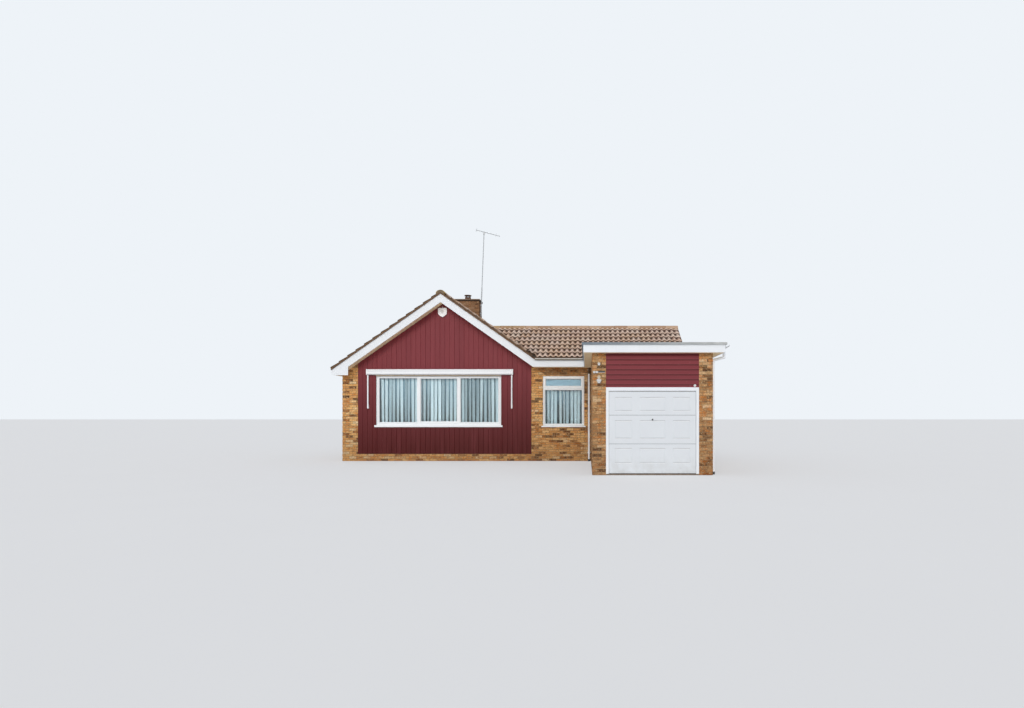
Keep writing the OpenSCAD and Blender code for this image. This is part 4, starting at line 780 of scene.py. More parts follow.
def islands(node):
    """The boxes of the separate solids in a node."""
    shape = bmesh.new()
    shape.from_mesh(NODES[node].data)
    bmesh.ops.remove_doubles(shape, verts=shape.verts[:], dist=1e-5)
    waiting = set(shape.verts)
    boxes = []
    while waiting:
        stack = [waiting.pop()]
        found = []
        while stack:
            vert = stack.pop()
            found.append(vert.co.copy())
            near = {edge.other_vert(vert) for edge in vert.link_edges} & waiting
            waiting -= near
            stack.extend(near)
        boxes.append(corners_of(found))
    shape.free()
    return sorted(boxes, key=lambda pair: [round(value, 3) for value in pair[0]])


def facing_of(low, high):
    """Which way a pane looks, and the plane of its outer face."""
    middle = (low + high) / 2
    if high.y - low.y < high.x - low.x:
        return ("-y", low.y) if middle.y < FRONT_Y + 0.3 else ("+y", high.y)
    return ("-x", low.x) if middle.x < HOUSE_X0 + 0.5 else ("+x", high.x)


def panes(*nodes):
    """Each pane's box, its rectangle on its wall, and what turns such a place into one in the frame."""
    for node in nodes:
        for low, high in islands(node):
            facing, plane = facing_of(low, high)
            ends = (low.x, high.x) if facing in ("-y", "+y") else (low.y, high.y)
            rect = (*sorted(wall_sign(facing) * end for end in ends), low.z, high.z)
            yield low, high, rect, wall_place(facing, plane)


def grown(rect, by):
    return (rect[0] - by, rect[1] + by, rect[2] - by, rect[3] + by)


def outline(rect):
    u0, u1, v0, v1 = rect
    return [(u0, v0), (u1, v0), (u1, v1), (u0, v1)]


def ring(parts, place, outer, inner, profile):
    """A mitred frame whose section is a list of (share of the way inwards, distance out)."""
    verts = [place(u, v, out) for share, out in profile
             for u, v in outline([o + share * (i - o) for o, i in zip(outer, inner)])]
    parts.add(verts, strips(len(profile), 4))


# Walls and boarding

def window_holes(facing, after=-FAR, before=FAR):
    """Holes in a face's brickwork, from the frames and sills that fill them, without the sills' ears."""
    holes = []
    for node in ("wide_window", "small_window", "side_windows", "rear_windows", "entrance_door"):
        for low, high in islands(node):
            ends = (low.x, high.x) if facing in ("-y", "+y") else (low.y, high.y)
            if facing_of(low, high)[0] == facing and after < sum(ends) / 2 < before:
                ear = SILL_EAR if abs(low.z - WINDOW_FOOT) < 0.01 else 0.0
                holes.append((ends[0] + ear, ends[1] - ear, low.z, high.z))
    return holes


def lay_bricks():
    """Single bricks on every outer face of the house and garage."""
    front_holes = window_holes("-y") + [(CLAD_X0, CLAD_X1, CLAD_FOOT_Z, FAR)]
    rear_holes = window_holes("+y")
    side_holes = window_holes("+x", before=LINK_REAR_Y)
    gable = under_main(0.30)
    wing = under_roof(LINK_APEX_Z, LINK_TAN, LINK_RIDGE_Y, TILE_BED + 0.02)
    main_top, link_top = MAIN_EAVES_Z + 0.01, LINK_EAVES_Z + 0.01
    pieces = {
        "front_bricks": [("-y", FRONT_Y, (HOUSE_X0 - BRICK_OUT, GARAGE_X), link_top, front_holes, gable)],
        "left_bricks": [("-x", HOUSE_X0, (FRONT_Y, REAR_Y), main_top, window_holes("-x"))],
        "rear_bricks": [
            ("+y", REAR_Y, (HOUSE_X0 - BRICK_OUT, HOUSE_X1 + BRICK_OUT), MAIN_APEX_Z, rear_holes, gable),
            ("+y", LINK_REAR_Y, (HOUSE_X1, RIGHT_X + BRICK_OUT), link_top, rear_holes),
            ("+x", HOUSE_X1, (LINK_REAR_Y, REAR_Y), main_top, window_holes("+x", after=LINK_REAR_Y))],
        "garage_bricks": [
            ("+x", RIGHT_X, (FRONT_Y, LINK_REAR_Y), LINK_APEX_Z, side_holes, wing),
            ("+x", RIGHT_X, (GARAGE_Y, FRONT_Y), LINK_EAVES_Z),
            ("-x", GARAGE_X, (GARAGE_Y, FRONT_Y), LINK_EAVES_Z),
            ("-y", GARAGE_Y, (GARAGE_X - BRICK_OUT, FRAME_X0), LINK_EAVES_Z),
            ("-y", GARAGE_Y, (FRAME_X1, RIGHT_X + BRICK_OUT), LINK_EAVES_Z)],
    }
    for seed, (name, faces) in enumerate(pieces.items(), 11):
        parts, chance = Parts(), Random(seed)
        for face in faces:
            brickwork(parts, chance, *face)
        parts.piece(name, "brick_face" if name == "garage_bricks" else "house_brick_face", "brick")


def lay_chimney():
    """Bricks of the stack, and the lead where it leaves the roof."""
    low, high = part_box("chimney_stack")
    parts = Parts()
    chance = Random(15)
    span = (low.x - BRICK_OUT, high.x + BRICK_OUT)
    above = MAIN_APEX_Z + 0.02
    left, _ = under_main(0.0)
    over_left = (-left[0], -left[1], -left[2] - 0.09)
    for facing, plane in (("-y", low.y), ("+y", high.y)):
        brickwork(parts, chance, facing, plane, span, high.z, bottom=above)
        brickwork(parts, chance, facing, plane, span, above, slopes=[over_left], bottom=low.z)
    for facing, plane in (("-x", low.x), ("+x", high.x)):
        brickwork(parts, chance, facing, plane, (low.y, high.y), high.z, bottom=main_z(plane) + 0.02)
    parts.piece("chimney_bricks", "old_brick_face", "chimney_brick")

    flashing = Parts()
    for x, side in ((low.x, -1), (high.x, 1)):
        rise = main_z(x) + 0.10
        edge_x = x + 0.16 * side
        away = main_z(edge_x) + 0.10
        y0, y1 = low.y - 0.02, high.y + 0.02
        flashing.add([(x, y0, rise), (x, y1, rise), (edge_x, y1, away), (edge_x, y0, away)], [(0, 1, 2, 3)])
        flashing.box((x - 0.006 * (side < 0), low.y - 0.008, rise - 0.02),
                     (x + 0.009 * (side > 0), high.y + 0.008, rise + 0.11), 0.002)
    steps = 6
    for near, far in ((low.y - 0.010, low.y), (high.y, high.y + 0.010)):
        for limit in (low.x, high.x):
            for index in range(steps):
                x0 = RIDGE_X + (limit - RIDGE_X) * index / steps
                x1 = RIDGE_X + (limit - RIDGE_X) * (index + 1) / steps
                flashing.box((min(x0, x1), near, main_z(x1) + 0.02),
                             (max(x0, x1), far, main_z((x0 + x1) / 2) + 0.21), 0.002)
    flashing.piece("chimney_lead", "lead", "grey_trim")


def lay_boards():
    """Upright tongued boards over the gable front."""
    parts = Parts()
    chance = Random(21)
    place = wall_place("-y", FRONT_Y)
    holes = window_holes("-y")
    slopes = under_main(0.295)
    x = CLAD_X0
    while x < CLAD_X1 - 0.01:
        rect = (x + BOARD_GAP, min(x + BOARD_PITCH, CLAD_X1) - BOARD_GAP, CLAD_FOOT_Z, MAIN_APEX_Z)
        out = 0.011 + chance.uniform(-0.001, 0.001)
        lay(parts, rect, holes, slopes, place, out, 0.005, chance.random())
        x += BOARD_PITCH
    parts.piece("gable_boards", "clad_paint", "maroon_board")


# Roof

def roll_wave(share):
    """How high the tile's section stands at a share of its width, from 0 in a pan to 1 on a roll."""
    return (0.5 - 0.5 * math.cos(2 * math.pi * share * ROLLS)) ** 1.25


def tile_shape(chance, width, s0, s1, verge, bed):
    """One tile in its own frame: across, down the slope, and out; at a verge its outer roll lies low."""
    steps = ROLLS * ROLL_STEPS
    slip = chance.uniform(-0.004, 0.004)
    tilt = chance.uniform(-0.0025, 0.0025)
    length = s1 - s0
    # Place down the tile, height, and the painted light on the pans and the rolls there: under 1 painted
    # shade, over 1 painted highlight
    rows = [(s0, 0.004, 0.0, 0.0),
            (s0 + min(0.034, length * 0.1), 0.008, 0.0, 0.2),
            (s0 + min(0.10, length * 0.29), 0.013, 0.0, 0.8),
            (s0 + min(0.19, length * 0.53), 0.022, 0.1, 1.0),
            (s0 + min(0.26, length * 0.74), 0.030, 0.75, 1.4),
            (s1 - 0.010, NOSE_LIFT, 1.3, 2.0),
            (s1, NOSE_LIFT - 0.006, 0.6, 1.8),
            (s1 + 0.001, NOSE_LIFT - 0.026, 0.0, 0.0)]
    nose_row = 6
    verts = []
    laps = []
    for index, (s, out, pan, roll) in enumerate(rows):
        for i in range(steps + 1):
            share = i / steps
            wave = roll_wave(share)
            rise = ROLL_H * wave
            if (verge == 0 and share < 0.5) or (verge == steps and share > 0.5):
                rise = rise * bed + out * min(1.0, 0.4 + bed * 1.4)
            else:
                rise += out
            verts.append((share * width * 0.992 + width * 0.004, s + (slip if index > 3 else 0.0),
                          rise + tilt * (share - 0.5) * 2))
            laps.append(pan + (roll - pan) * wave)
    faces = [(a, d, c, b) for a, b, c, d in strips(len(rows), steps + 1, closed=False)]
    for side in (0, steps):
        depth = 0.052 if verge == side else 0.018
        start = len(verts)
        for s, out in ((s0, 0.004), (s1 + slip, NOSE_LIFT - 0.006)):
            verts.append((verts[side][0], s, out - depth))
            # The side skirts take painted shade
            laps.append(0.35 if verge == side else 0.8)
        face = (side, start, start + 1, nose_row * (steps + 1) + side)
        faces.append(face if side == 0 else face[::-1])
    return verts, faces, laps


def tile_field(ridge, across, down, tan, run, length, seed, bed=0.45):
    """All the tiles of one slope as a bmesh, laid from the eaves up."""
    chance = Random(seed)
    cos = 1 / math.sqrt(1 + tan * tan)
    slope_len = run / cos
    fall = Vector((down[0] * cos, down[1] * cos, -tan * cos))
    out = Vector((down[0] * tan * cos, down[1] * tan * cos, cos))
    ridge, across = Vector(ridge), Vector(across)
    count = round(length / TILE_WIDTH)
    width = length / count
    shape = bmesh.new()
    tone_layer = shape.verts.layers.float.new("tone")
    tile_light_shade_layer = shape.verts.layers.float.new("tile_light_shade")
    for course in range(math.ceil(slope_len / TILE_GAUGE)):
        s1 = slope_len - course * TILE_GAUGE
        s0 = max(s1 - TILE_GAUGE - TILE_LAP, 0.0)
        for column in range(count):
            verge = 0 if column == 0 else (ROLLS * ROLL_STEPS if column == count - 1 else -1)
            verts, faces, laps = tile_shape(chance, width, s0, s1, verge, bed)
            shade = min(1.0, max(0.0, chance.gauss(0.55, 0.22)))
            made = []
            for (a, s, h), tile_light_shade in zip(verts, laps):
                vert = shape.verts.new(ridge + across * (column * width + a) + fall * s + out * h)
                vert[tone_layer] = shade
                vert[tile_light_shade_layer] = tile_light_shade
                made.append(vert)
            for face in faces:
                shape.faces.new([made[i] for i in face])
    return shape


def roof_piece(name, field, chunks):
    """The tiles of a slope as one piece of chunks, each without what lies beyond its planes."""
    whole = bmesh.new()
    for planes in chunks:
        shape = tile_field(*field)
        for point, normal in planes:
            geometry = shape.verts[:] + shape.edges[:] + shape.faces[:]
            bmesh.ops.bisect_plane(shape, geom=geometry, plane_co=Vector(point), plane_no=Vector(normal),
                                   clear_outer=True)
        part = bpy.data.meshes.new("part")
        shape.to_mesh(part)
        whole.from_mesh(part)
        shape.free()
        bpy.data.meshes.remove(part)
    whole.normal_update()
    mesh = bpy.data.meshes.new(name)
    whole.to_mesh(mesh)
    whole.free()
    show(mesh, "roof_tile", "roof_tile", "house", 38)


def valleys():
    """The foot, the top and the level normal, to the main roof's side, of the front and the rear valley."""
    found = []
    for nose_y in (LINK_NOSE_Y, 2 * LINK_RIDGE_Y - LINK_NOSE_Y):
        start = Vector((valley_x(nose_y), nose_y, 0))
        end = Vector((valley_x(LINK_RIDGE_Y), LINK_RIDGE_Y, 0))
        line = (end - start).normalized()
        normal = Vector((line.y, -line.x, 0))
        found.append((start, end, -normal if normal.x > 0 else normal))
    return found


def lay_tiles():
    """Tiles on all four slopes, cut where the valleys run."""
    (front, _, front_normal), (rear, _, rear_normal) = valleys()
    front_gap, rear_gap = front_normal * VALLEY_GAP, rear_normal * VALLEY_GAP
    ridge, board = (0, LINK_RIDGE_Y, 0), (0, 2 * LINK_RIDGE_Y - LINK_NOSE_Y - TILE_NOSE, 0)
    to_front, to_rear = (0, -1, 0), (0, 1, 0)
    main = ((RIDGE_X, VERGE_Y0, MAIN_APEX_Z), (0, 1, 0))
    main_size = (MAIN_TAN, MAIN_RUN, VERGE_Y1 - VERGE_Y0)
    first_x = LINK_VERGE_X - math.ceil((LINK_VERGE_X - RIDGE_X) / TILE_WIDTH) * TILE_WIDTH
    link = ((first_x, LINK_RIDGE_Y, LINK_APEX_Z), (1, 0, 0))
    link_len = LINK_VERGE_X - first_x
    rear_run = LINK_NOSE_REAR_Y - LINK_RIDGE_Y
    roof_piece("tiles_left_slope", (*main, (-1, 0), *main_size, 31), [[]])
    roof_piece("tiles_right_slope", (*main, (1, 0), *main_size, 32, 0.1), [
        [(ridge, to_rear), (front + front_gap, -front_normal)],
        [(ridge, to_front), (board, to_rear), (rear + rear_gap, -rear_normal)],
        [(board, to_front)]])
    roof_piece("tiles_link_front", (*link, (0, -1), LINK_TAN, LINK_RUN, link_len, 33),
               [[(front - front_gap, front_normal)]])
    roof_piece("tiles_link_rear", (*link, (0, 1), LINK_TAN, rear_run, link_len, 34), [
        [(board, to_rear), (rear - rear_gap, rear_normal)],
        [(board, to_front), ((SLAB_LEFT[1].x + MAIN_RUN + 0.04, 0, 0), (-1, 0, 0))]])


def lay_valleys():
    """Lead troughs where the slopes meet."""
    parts = Parts()
    lift = 0.006
    for start, end, normal in valleys():
        verts = []
        for point in (start, end):
            main_side, link_side = point + normal * VALLEY_WIDTH, point - normal * VALLEY_WIDTH
            verts += [(main_side.x, main_side.y, main_z(main_side.x) + lift),
                      (link_side.x, link_side.y, link_z(link_side.y) + lift),
                      (point.x, point.y, main_z(point.x) + lift)]
        parts.add(verts, [(0, 2, 5, 3), (2, 1, 4, 5)])
    parts.piece("valley_lead", "old_lead", "grey_trim")


def ridge_run(parts, chance, start, end, radius):
    """Half-round ridge tiles laid end to end on their bed."""
    start, end = Vector(start), Vector(end)
    length = (end - start).length
    along = (end - start).normalized()
    side = Vector((-along.y, along.x, 0))
    up = Vector((0, 0, 1))
    count = round(length / RIDGE_PITCH)
    pitch = length / count
    arc = 12
    for index in range(count):
        a0, a1 = index * pitch, (index + 1) * pitch
        shade = chance.random()
        tip = chance.uniform(-0.003, 0.003)
        rings = [(a0 + 0.004, -0.014), (a0 + 0.004, 0.004), (a0 + 0.012, 0.008), (a1 - 0.012, 0.008),
                 (a1 - 0.004, 0.004), (a1 - 0.004, -0.014)]
        verts = []
        for along_at, grow in rings:
            r = radius + grow
            for i in range(arc + 1):
                angle = math.pi * i / arc
                offset = side * (1.22 * r * math.cos(angle)) + up * (r * math.sin(angle) + tip)
                verts.append(tuple(start + along * along_at + offset))
        parts.add(verts, strips(len(rings), arc + 1, closed=False), shade)


def lay_ridges():
    """Ridge tiles along both roofs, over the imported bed."""
    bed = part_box("main_ridge_tiles")
    radius = (bed[1].x - bed[0].x) / 2
    base_z = bed[1].z - radius
    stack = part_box("chimney_stack")
    link_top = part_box("link_ridge_tiles")[1].z
    start_x = RIDGE_X + (MAIN_APEX_Z - link_top) / MAIN_TAN + 0.05
    parts = Parts()
    chance = Random(41)
    for start, end in (
            ((RIDGE_X, VERGE_Y0, base_z), (RIDGE_X, stack[0].y - 0.01, base_z)),
            ((RIDGE_X, stack[1].y + 0.01, base_z), (RIDGE_X, VERGE_Y1, base_z)),
            ((start_x, LINK_RIDGE_Y, link_top - radius), (LINK_VERGE_X, LINK_RIDGE_Y, link_top - radius))):
        ridge_run(parts, chance, start, end, radius)
    parts.piece("ridge_caps", "ridge_clay", "ridge_tile", smooth=40)


# Fittings

def feet(node):
    """The middle and radius at the foot of each pipe of a node, and the pipe's height."""
    found = []
    points = [vert.co for vert in NODES[node].data.vertices]
    for low, high in islands(node):
        if low.z > 0.05 or high.z - low.z < 1.0:
            continue
        foot0, foot1 = corners_of([
            co for co in points if co.z < low.z + 0.01 and low.x - 0.001 <= co.x <= high.x + 0.001
            and low.y - 0.001 <= co.y <= high.y + 0.001])
        found.append(((foot0.x + foot1.x) / 2, (foot0.y + foot1.y) / 2, (foot1.x - foot0.x) / 2, high.z))
    return found


def fit_pipes():
    """Pipe clips on the downpipes, a brown band of painted shade at the top of the front pipe under the
    eaves, and the dark shoes at their feet.
    """
    clips, shoes, shade = Parts(), Parts(), Parts()
    for x, y, radius, top in feet("downpipes"):
        z, clip_pitch, bend = 0.95, 0.9, 0.45
        while z < top - bend:
            collar(clips, x, y, radius + 0.005, z, z + 0.035)
            z += clip_pitch
        collar(shoes, x, y, radius + 0.008, 0.0, 0.07)
        # The front pipe's top, under the eaves: a brown band of painted shade
        if y < FRONT_Y and x < GARAGE_X:
            collar(shade, x, y, radius + 0.0015, top - 0.20, top - 0.002)
    shade.piece("pipe_shade", "shaded_plastic", smooth=40)
    clips.piece("pipe_clips", "white_plastic", smooth=40)
    shoes.piece("pipe_shoes", "dark_plastic", smooth=40)


def boxes(name, finish, rows, slot="white_plastic", body="house"):
    """A piece of boxes, each given as x, y and z from and to, and its chamfer."""
    parts = Parts()
    for (x0, x1), (y0, y1), (z0, z1), chamfer in rows:
        parts.box((x0, y0, z0), (x1, y1, z1), chamfer)
    return parts.piece(name, finish, slot, body)


def fit_awning():
    """The joint along the awning case, its end caps and the knuckles of the arms."""
    low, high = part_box("awning_case")
    across = (low.x + 0.004, high.x - 0.004)
    boxes("awning_lines", "shadow_line", [
        (across, (low.y - 0.0015, low.y + 0.002), (high.z - 0.062, high.z - 0.055), 0.0),
        (across, (low.y - 0.001, low.y + 0.002), (low.z + 0.016, low.z + 0.021), 0.0)])
    left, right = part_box("wide_window")
    face_y = max(islands("wide_window"), key=lambda pair: pair[1].z - pair[0].z)[0].y
    boxes("awning_batten", "buff_plastic", [
        ((left.x + 0.05, right.x - 0.05), (face_y - 0.0025, face_y + 0.002),
         (right.z - 0.03, right.z - 0.001), 0.001)])
    caps = [(ends, (low.y - 0.003, high.y), (low.z - 0.003, high.z + 0.002), 0.003)
            for ends in ((low.x - 0.001, low.x + 0.030), (high.x - 0.030, high.x + 0.001))]
    for arm_low, arm_high in islands("awning_arms"):
        middle = (arm_low.x + arm_high.x) / 2
        caps.append(((middle - 0.024, middle + 0.024), (arm_low.y - 0.003, arm_low.y + 0.02),
                     (arm_high.z - 0.07, arm_high.z - 0.01), 0.004))
    boxes("awning_caps", "white_plastic", caps)


def fit_alarm():
    """The seams, the pale oval and the bracket of the alarm box."""
    low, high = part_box("alarm_box")
    middle = (low.x + high.x) / 2
    seam_z = low.z + 0.36 * (high.z - low.z)
    boxes("alarm_lines", "shadow_line", [
        ((low.x + 0.035, high.x - 0.035), (low.y - 0.001, low.y + 0.002), (seam_z, seam_z + 0.004), 0.0),
        ((middle - 0.045, middle + 0.045), (low.y - 0.0015, low.y + 0.002),
         (high.z - 0.016, high.z - 0.010), 0.0)])
    oval = Parts()
    centre_z = low.z + 0.60 * (high.z - low.z)
    edge = [(middle + 0.062 * a, low.y - 0.0012, centre_z + 0.048 * b) for a, b in circle(28)]
    oval.add(edge, [tuple(range(len(edge)))])
    oval.box((middle - 0.014, low.y + 0.02, high.z - 0.001),
             (middle + 0.004, low.y + 0.036, high.z + 0.03), 0.002)
    oval.box((middle - 0.010, low.y + 0.022, high.z + 0.03),
             (middle, low.y + 0.034, high.z + 0.075), 0.002)
    oval.piece("alarm_oval", "pale_grey")


def fit_lamps():
    """The buff covers and dark undersides of the lamps on the pier."""
    lamps = [pair for pair in islands("garage_lamps") if pair[1].x < FRAME_X0]
    left = min(low.x for low, high in lamps)
    right = max(high.x for low, high in lamps)
    middle = (left + right) / 2
    bar_top = next(high.z for low, high in lamps if high.x - low.x > 0.2)
    bar_y = GARAGE_Y - 0.028 - 0.003
    lowest = min(lamps, key=lambda pair: pair[0].z)
    highest = max(lamps, key=lambda pair: pair[1].z)
    dark, buff = Parts(), Parts()
    dark.box((middle - 0.018, bar_y, bar_top - 0.033),
             (right + 0.002, GARAGE_Y - 0.004, bar_top + 0.003), 0.003)
    dark.box((left + 0.012, bar_y, bar_top - 0.033),
             (left + 0.030, GARAGE_Y - 0.004, bar_top - 0.026), 0.001)
    collar(dark, middle, lowest[0].y + 0.058, 0.024, lowest[0].z - 0.001, lowest[0].z + 0.012)
    for z, radius, out in ((lowest[1].z - 0.044, 0.047, 0.022),
                           ((highest[0].z + highest[1].z) / 2 + 0.018, 0.038, 0.021)):
        cover(buff, middle, GARAGE_Y, z, [(0.0, radius), (out - 0.003, radius), (out, radius - 0.003)], 24)
    dark.piece("lamp_dark_parts", "dark_plastic")
    buff.piece("lamp_covers", "buff_plastic", smooth=40)


def fit_entrance():
    """The lever, the letter plate and the planted mouldings of the entrance door; the mouldings are painted
    grey as shade lines round the panels.
    """
    low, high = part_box("entrance_door")
    x, y, z = low.x, low.y + 0.105, low.z + 1.0
    middle = (low.y + high.y) / 2
    boxes("entrance_fittings", "dull_alloy", [
        ((x - 0.004, x + 0.002), (y - 0.022, y + 0.022), (z - 0.11, z + 0.11), 0.001),
        ((x - 0.040, x), (y - 0.008, y + 0.008), (z + 0.03, z + 0.046), 0.002),
        ((x - 0.046, x - 0.034), (y - 0.009, y + 0.115), (z + 0.03, z + 0.046), 0.003),
        ((x - 0.005, x + 0.002), (middle - 0.13, middle + 0.13), (low.z + 0.915, low.z + 0.957), 0.001),
        ((x - 0.009, x), (middle - 0.115, middle + 0.115), (low.z + 0.923, low.z + 0.949), 0.002)], "alloy")
    # The mouldings' grey finish is painted shade round the panels
    beads = Parts()
    stile = 0.16
    for z0, z1 in ((low.z + stile, low.z + 0.82), (low.z + 1.05, low.z + (high.z - low.z - stile))):
        panel = (stile - high.y, -stile - low.y, z0, z1)
        ring(beads, wall_place("-x", x), grown(panel, 0.010), grown(panel, -0.010),
             [(0.0, 0.0), (0.15, 0.006), (0.6, 0.005), (1.0, -0.014)])
    beads.piece("entrance_beads", "press_shade")


def lap_felt():
    """The laps between the sheets of felt on the flat roof."""
    low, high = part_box("flat_roof_deck")
    sheets = round(high.y - low.y)
    seams = [low.y + (high.y - low.y) * index / sheets for index in range(1, sheets)]
    boxes("felt_laps", "roof_felt", [
        ((low.x + 0.01, high.x - 0.01), (y - 0.045, y + 0.045), (high.z - 0.002, high.z + 0.004), 0.002)
        for y in seams], "roof_felt")


def leaf_fronts(wanted):
    """Rectangles (x and z from and to) of the faces on the garage door's front whose size is wanted."""
    mesh = NODES["garage_door_leaf"].data
    found = set()
    for face in mesh.polygons:
        low, high = corners_of([mesh.vertices[i].co for i in face.vertices])
        if face.normal.y < -0.99 and wanted(high.x - low.x, high.z - low.z):
            found.add(tuple(round(value, 3) for value in (low.x, high.x, low.z, high.z)))
    return sorted(found)


def line_door():
    """Painted shade along the pressed edges of the door's panels with a painted highlight beside each, dark
    lines in the joints between its sections and under its head, and its knob.
    """
    low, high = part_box("garage_door_leaf")
    slope = 0.022
    dark, light, seams = [], [], []

    def line(rows, x0, x1, z0, z1, out, back=0.001):
        rows.append(((x0, x1), (LEAF_FACE_Y - out, LEAF_FACE_Y + back), (z0, z1), 0.0))

    panels = leaf_fronts(lambda wide, tall: 0.3 < wide < 0.65 and 0.25 < tall < 0.42)
    joints = leaf_fronts(lambda wide, tall: wide > 0.8 * (high.x - low.x) and tall < 0.012)
    # Each pressed panel edge: a painted shade line, with a painted highlight line beside it
    for panel in panels:
        x0, x1, z0, z1 = grown(panel, slope)
        line(dark, x0, x1, z1 - 0.004, z1 + 0.006, 0.0008)
        line(light, x0 + 0.01, x1 - 0.01, z1 - 0.018, z1 - 0.005, 0.0006)
        line(dark, x0, x1, z0 - 0.002, z0 + 0.006, 0.0008)
        line(light, x0, x1, z0 - 0.014, z0 - 0.003, 0.0006)
    for z0, z1 in sorted({joint[2:] for joint in joints}):
        middle = (z0 + z1) / 2
        line(seams, low.x + 0.003, high.x - 0.003, middle - 0.005, middle + 0.005, 0.0006, 0.003)
    line(seams, low.x + 0.001, high.x - 0.001, high.z - 0.012, high.z - 0.007, 0.0006, 0.003)
    for name, finish, rows in (("door_shade_lines", "press_shade", dark),
                               ("door_highlight_lines", "press_highlight", light),
                               ("door_seams", "door_seam", seams)):
        boxes(name, finish, rows, "door_paint", "garage_door")

    tip = [vert.co for vert in NODES["garage_door_leaf"].data.vertices if vert.co.y < LEAF_FACE_Y - 0.008]
    knob = Parts()
    cover(knob, sum(co.x for co in tip) / len(tip), LEAF_FACE_Y, sum(co.z for co in tip) / len(tip),
          [(0.006, 0.021), (0.0125, 0.021), (0.0145, 0.015)], 20)
    knob.piece("door_knob", "dark_plastic", "door_paint", body="garage_door", smooth=40)


# Windows

VENT_HEIGHT = 0.4


def fit_sashes():
    """Bevelled sashes, dark gaskets and beads round every pane."""
    frames, gaskets = Parts(), Parts()
    middle_light = sum(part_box("wide_window_glass"), Vector()) / 2
    for low, high, rect, place in panes("wide_window_glass", "small_window_glass", "side_window_glass",
                                        "rear_window_glass"):
        wide, top = (0.062, 0.044) if high.z - low.z < VENT_HEIGHT else (0.05, 0.036)
        section = [(0.0, 0.020), (0.0, top - 0.004), (0.06, top), (0.62, top), (0.78, top - 0.009),
                   (0.98, 0.011), (1.0, 0.009), (1.0, -0.002)]
        inner = grown(rect, -0.006)
        if (middle_light - (low + high) / 2).length < 0.3:
            inner = (rect[0] + 0.031, rect[1] - 0.031, rect[2] + 0.031, rect[3] - 0.022)
        ring(frames, place, grown(rect, wide), inner, section)
        ring(gaskets, place, grown(inner, 0.006), inner, [(0.0, 0.004), (1.0, 0.004), (1.0, -0.001)])
        ring(gaskets, place, grown(rect, wide + 0.0015), grown(rect, wide - 0.001),
             [(0.0, 0.0235), (1.0, 0.0238)])
    frames.piece("window_sashes", "frame_plastic")
    gaskets.piece("window_gaskets", "seal_grey")


def hang_blinds(name, node, seed):
    """Upright vanes with a gentle curve and light gaps between them, before the dim of the room."""
    low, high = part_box(node)
    small = low.x > HOUSE_X1
    chance = Random(seed)
    parts = Parts()
    vane_w, vane_pitch, thick, rail_h, points = 0.089, 0.122, 0.0012, 0.04, 5
    count = round((high.x - low.x) / vane_pitch)
    step = (high.x - low.x - vane_w) / (count - 1)
    middle_y = (low.y + high.y) / 2
    for index in range(count):
        wider = 14 if not small and index > 0.69 * count else 0
        turn = math.radians(wider + chance.uniform(5, 34 if small else 46))
        twist = math.radians(chance.uniform(-6, 26))
        centre = low.x + vane_w / 2 + index * step + chance.uniform(-0.016, 0.016)
        lean = chance.uniform(-0.014, 0.014)
        verts = []
        for angle, shift, z in ((turn + twist, lean, low.z + 0.004), (turn, 0.0, high.z - rail_h)):
            for sign in (1, -1):
                for i in range(points):
                    share = (i / (points - 1) - 0.5) * sign
                    across = share * vane_w
                    depth = 0.006 * (1 - (2 * share) ** 2) + sign * thick / 2
                    verts.append((centre + shift + across * math.cos(angle) - depth * math.sin(angle),
                                  middle_y + across * math.sin(angle) + depth * math.cos(angle), z))
        n = 2 * points
        faces = [*strips(2, n), tuple(range(n))[::-1], tuple(range(n, 2 * n))]
        # The small window's vanes take only paler tones, painted lighter against the shade they hang in
        parts.add(verts, faces, chance.uniform(0.45 if small else 0.0, 1.0))
    parts.box((low.x, low.y + 0.006, high.z - rail_h), (high.x, high.y - 0.006, high.z), 0.004, 0.9)
    piece = parts.piece(name, "blind_fabric", "blind_fabric")
    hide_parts(node)


def hang_nets():
    """A sheet behind the blinds painted with the room's light and shade, and the pale obscured film inside
    the top lights.
    """
    linings = []
    for low, high in (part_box("wide_window_blinds"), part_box("small_window_blinds")):
        back = high.y + 0.03
        linings.append(((low.x, high.x), (back, back + 0.002), (low.z + 0.01, high.z), 0.0005))
    boxes("window_linings", "lining", linings, "blind_fabric")
    films = Parts()
    for low, high, rect, place in panes("small_window_glass", "side_window_glass", "rear_window_glass"):
        if high.z - low.z < VENT_HEIGHT:
            behind = -min(high.x - low.x, high.y - low.y) - 0.002
            films.add([place(u, v, behind) for u, v in outline(rect)], [(0, 1, 2, 3)])
    films.piece("top_light_films", "film", "blind_fabric")


# Stage, camera and lights

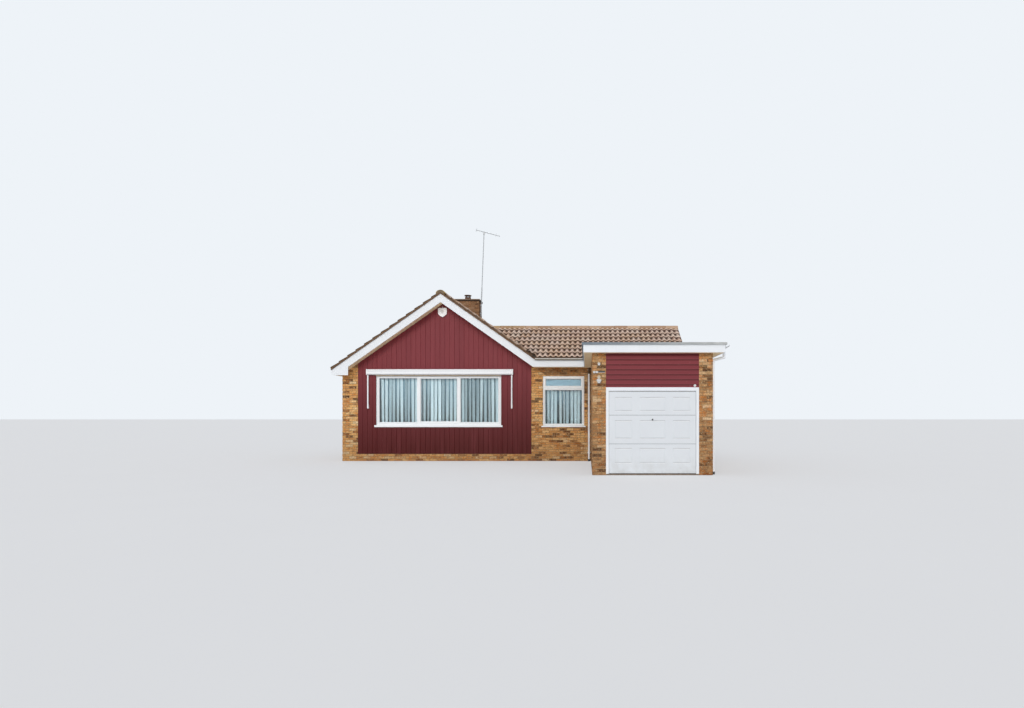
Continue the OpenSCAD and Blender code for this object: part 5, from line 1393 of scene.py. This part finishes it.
def set_stage():
    """A plain floor that runs to the horizon, and looks paler than its light alone would make it."""
    bpy.ops.mesh.primitive_plane_add(size=400.0, location=(0, 0, -0.004))
    floor = bpy.context.object
    floor.name = "stage_floor"
    mat = Finish("stage_floor", 0.95, 0.1)
    mat.give(mat.clouded((0.6, 3), (246, 245, 243), (243, 242, 240)), "Base Color")
    glow = mat.add("ShaderNodeEmission", {"Color": (238, 240, 243)})
    mat.blend(mat.math("MULTIPLY", mat.seen(), 0.45), mat.bsdf, glow, mat.tree.nodes["Material Output"])
    floor.data.materials.append(mat.material)


def set_camera():
    """The photograph's view: level, off to the right of the garage's left pier."""
    data = bpy.data.cameras.new("camera")
    data.lens = 22.92
    data.sensor_width = 36.0
    data.shift_x = -0.0732
    data.shift_y = 0.0596
    data.clip_end = 500.0
    camera = bpy.data.objects.new("camera", data)
    eye_left, eye_back, eye_z = 0.134, 16.0, 1.476
    camera.location = (GARAGE_X - eye_left, GARAGE_Y - eye_back, eye_z)
    camera.rotation_euler = (math.radians(90), 0, 0)
    bpy.context.scene.collection.objects.link(camera)
    bpy.context.scene.camera = camera


def set_light():
    """An even pale sky, a broad soft sun from the front left and a wide fill."""
    scene = bpy.context.scene
    scene.view_settings.view_transform = "Standard"
    scene.world = bpy.data.worlds.new("sky")
    scene.world.use_nodes = True
    sky = Shader(scene.world.node_tree)
    sky.tree.nodes.clear()
    glow = sky.add("ShaderNodeBackground", {"Color": (240, 245, 255), "Strength": 0.56})
    backdrop = sky.add("ShaderNodeBackground", {"Color": (238, 243, 248)})
    sky.blend(sky.seen(), glow, backdrop, sky.add("ShaderNodeOutputWorld"))
    for name, energy, angle, colour, towards in (
            ("sun", 1.05, 24, (1.0, 0.97, 0.92), (0.10, 0.93, -0.36)),
            ("fill", 0.45, 80, (0.98, 0.99, 1.0), (-0.20, 0.97, 0.02))):
        light = bpy.data.lights.new(name, "SUN")
        light.energy = energy
        light.angle = math.radians(angle)
        light.color = colour
        lamp = bpy.data.objects.new(name, light)
        lamp.rotation_euler = Vector(towards).to_track_quat("-Z", "Y").to_euler()
        scene.collection.objects.link(lamp)


make_finishes()
set_camera()
dress_nodes()
lay_bricks()
lay_chimney()
lay_boards()
lay_tiles()
lay_valleys()
lay_ridges()
fit_pipes()
fit_awning()
fit_alarm()
fit_lamps()
fit_entrance()
lap_felt()
line_door()
fit_sashes()
hang_blinds("wide_vanes", "wide_window_blinds", 51)
hang_blinds("small_vanes", "small_window_blinds", 52)
hang_nets()
set_stage()
set_light()
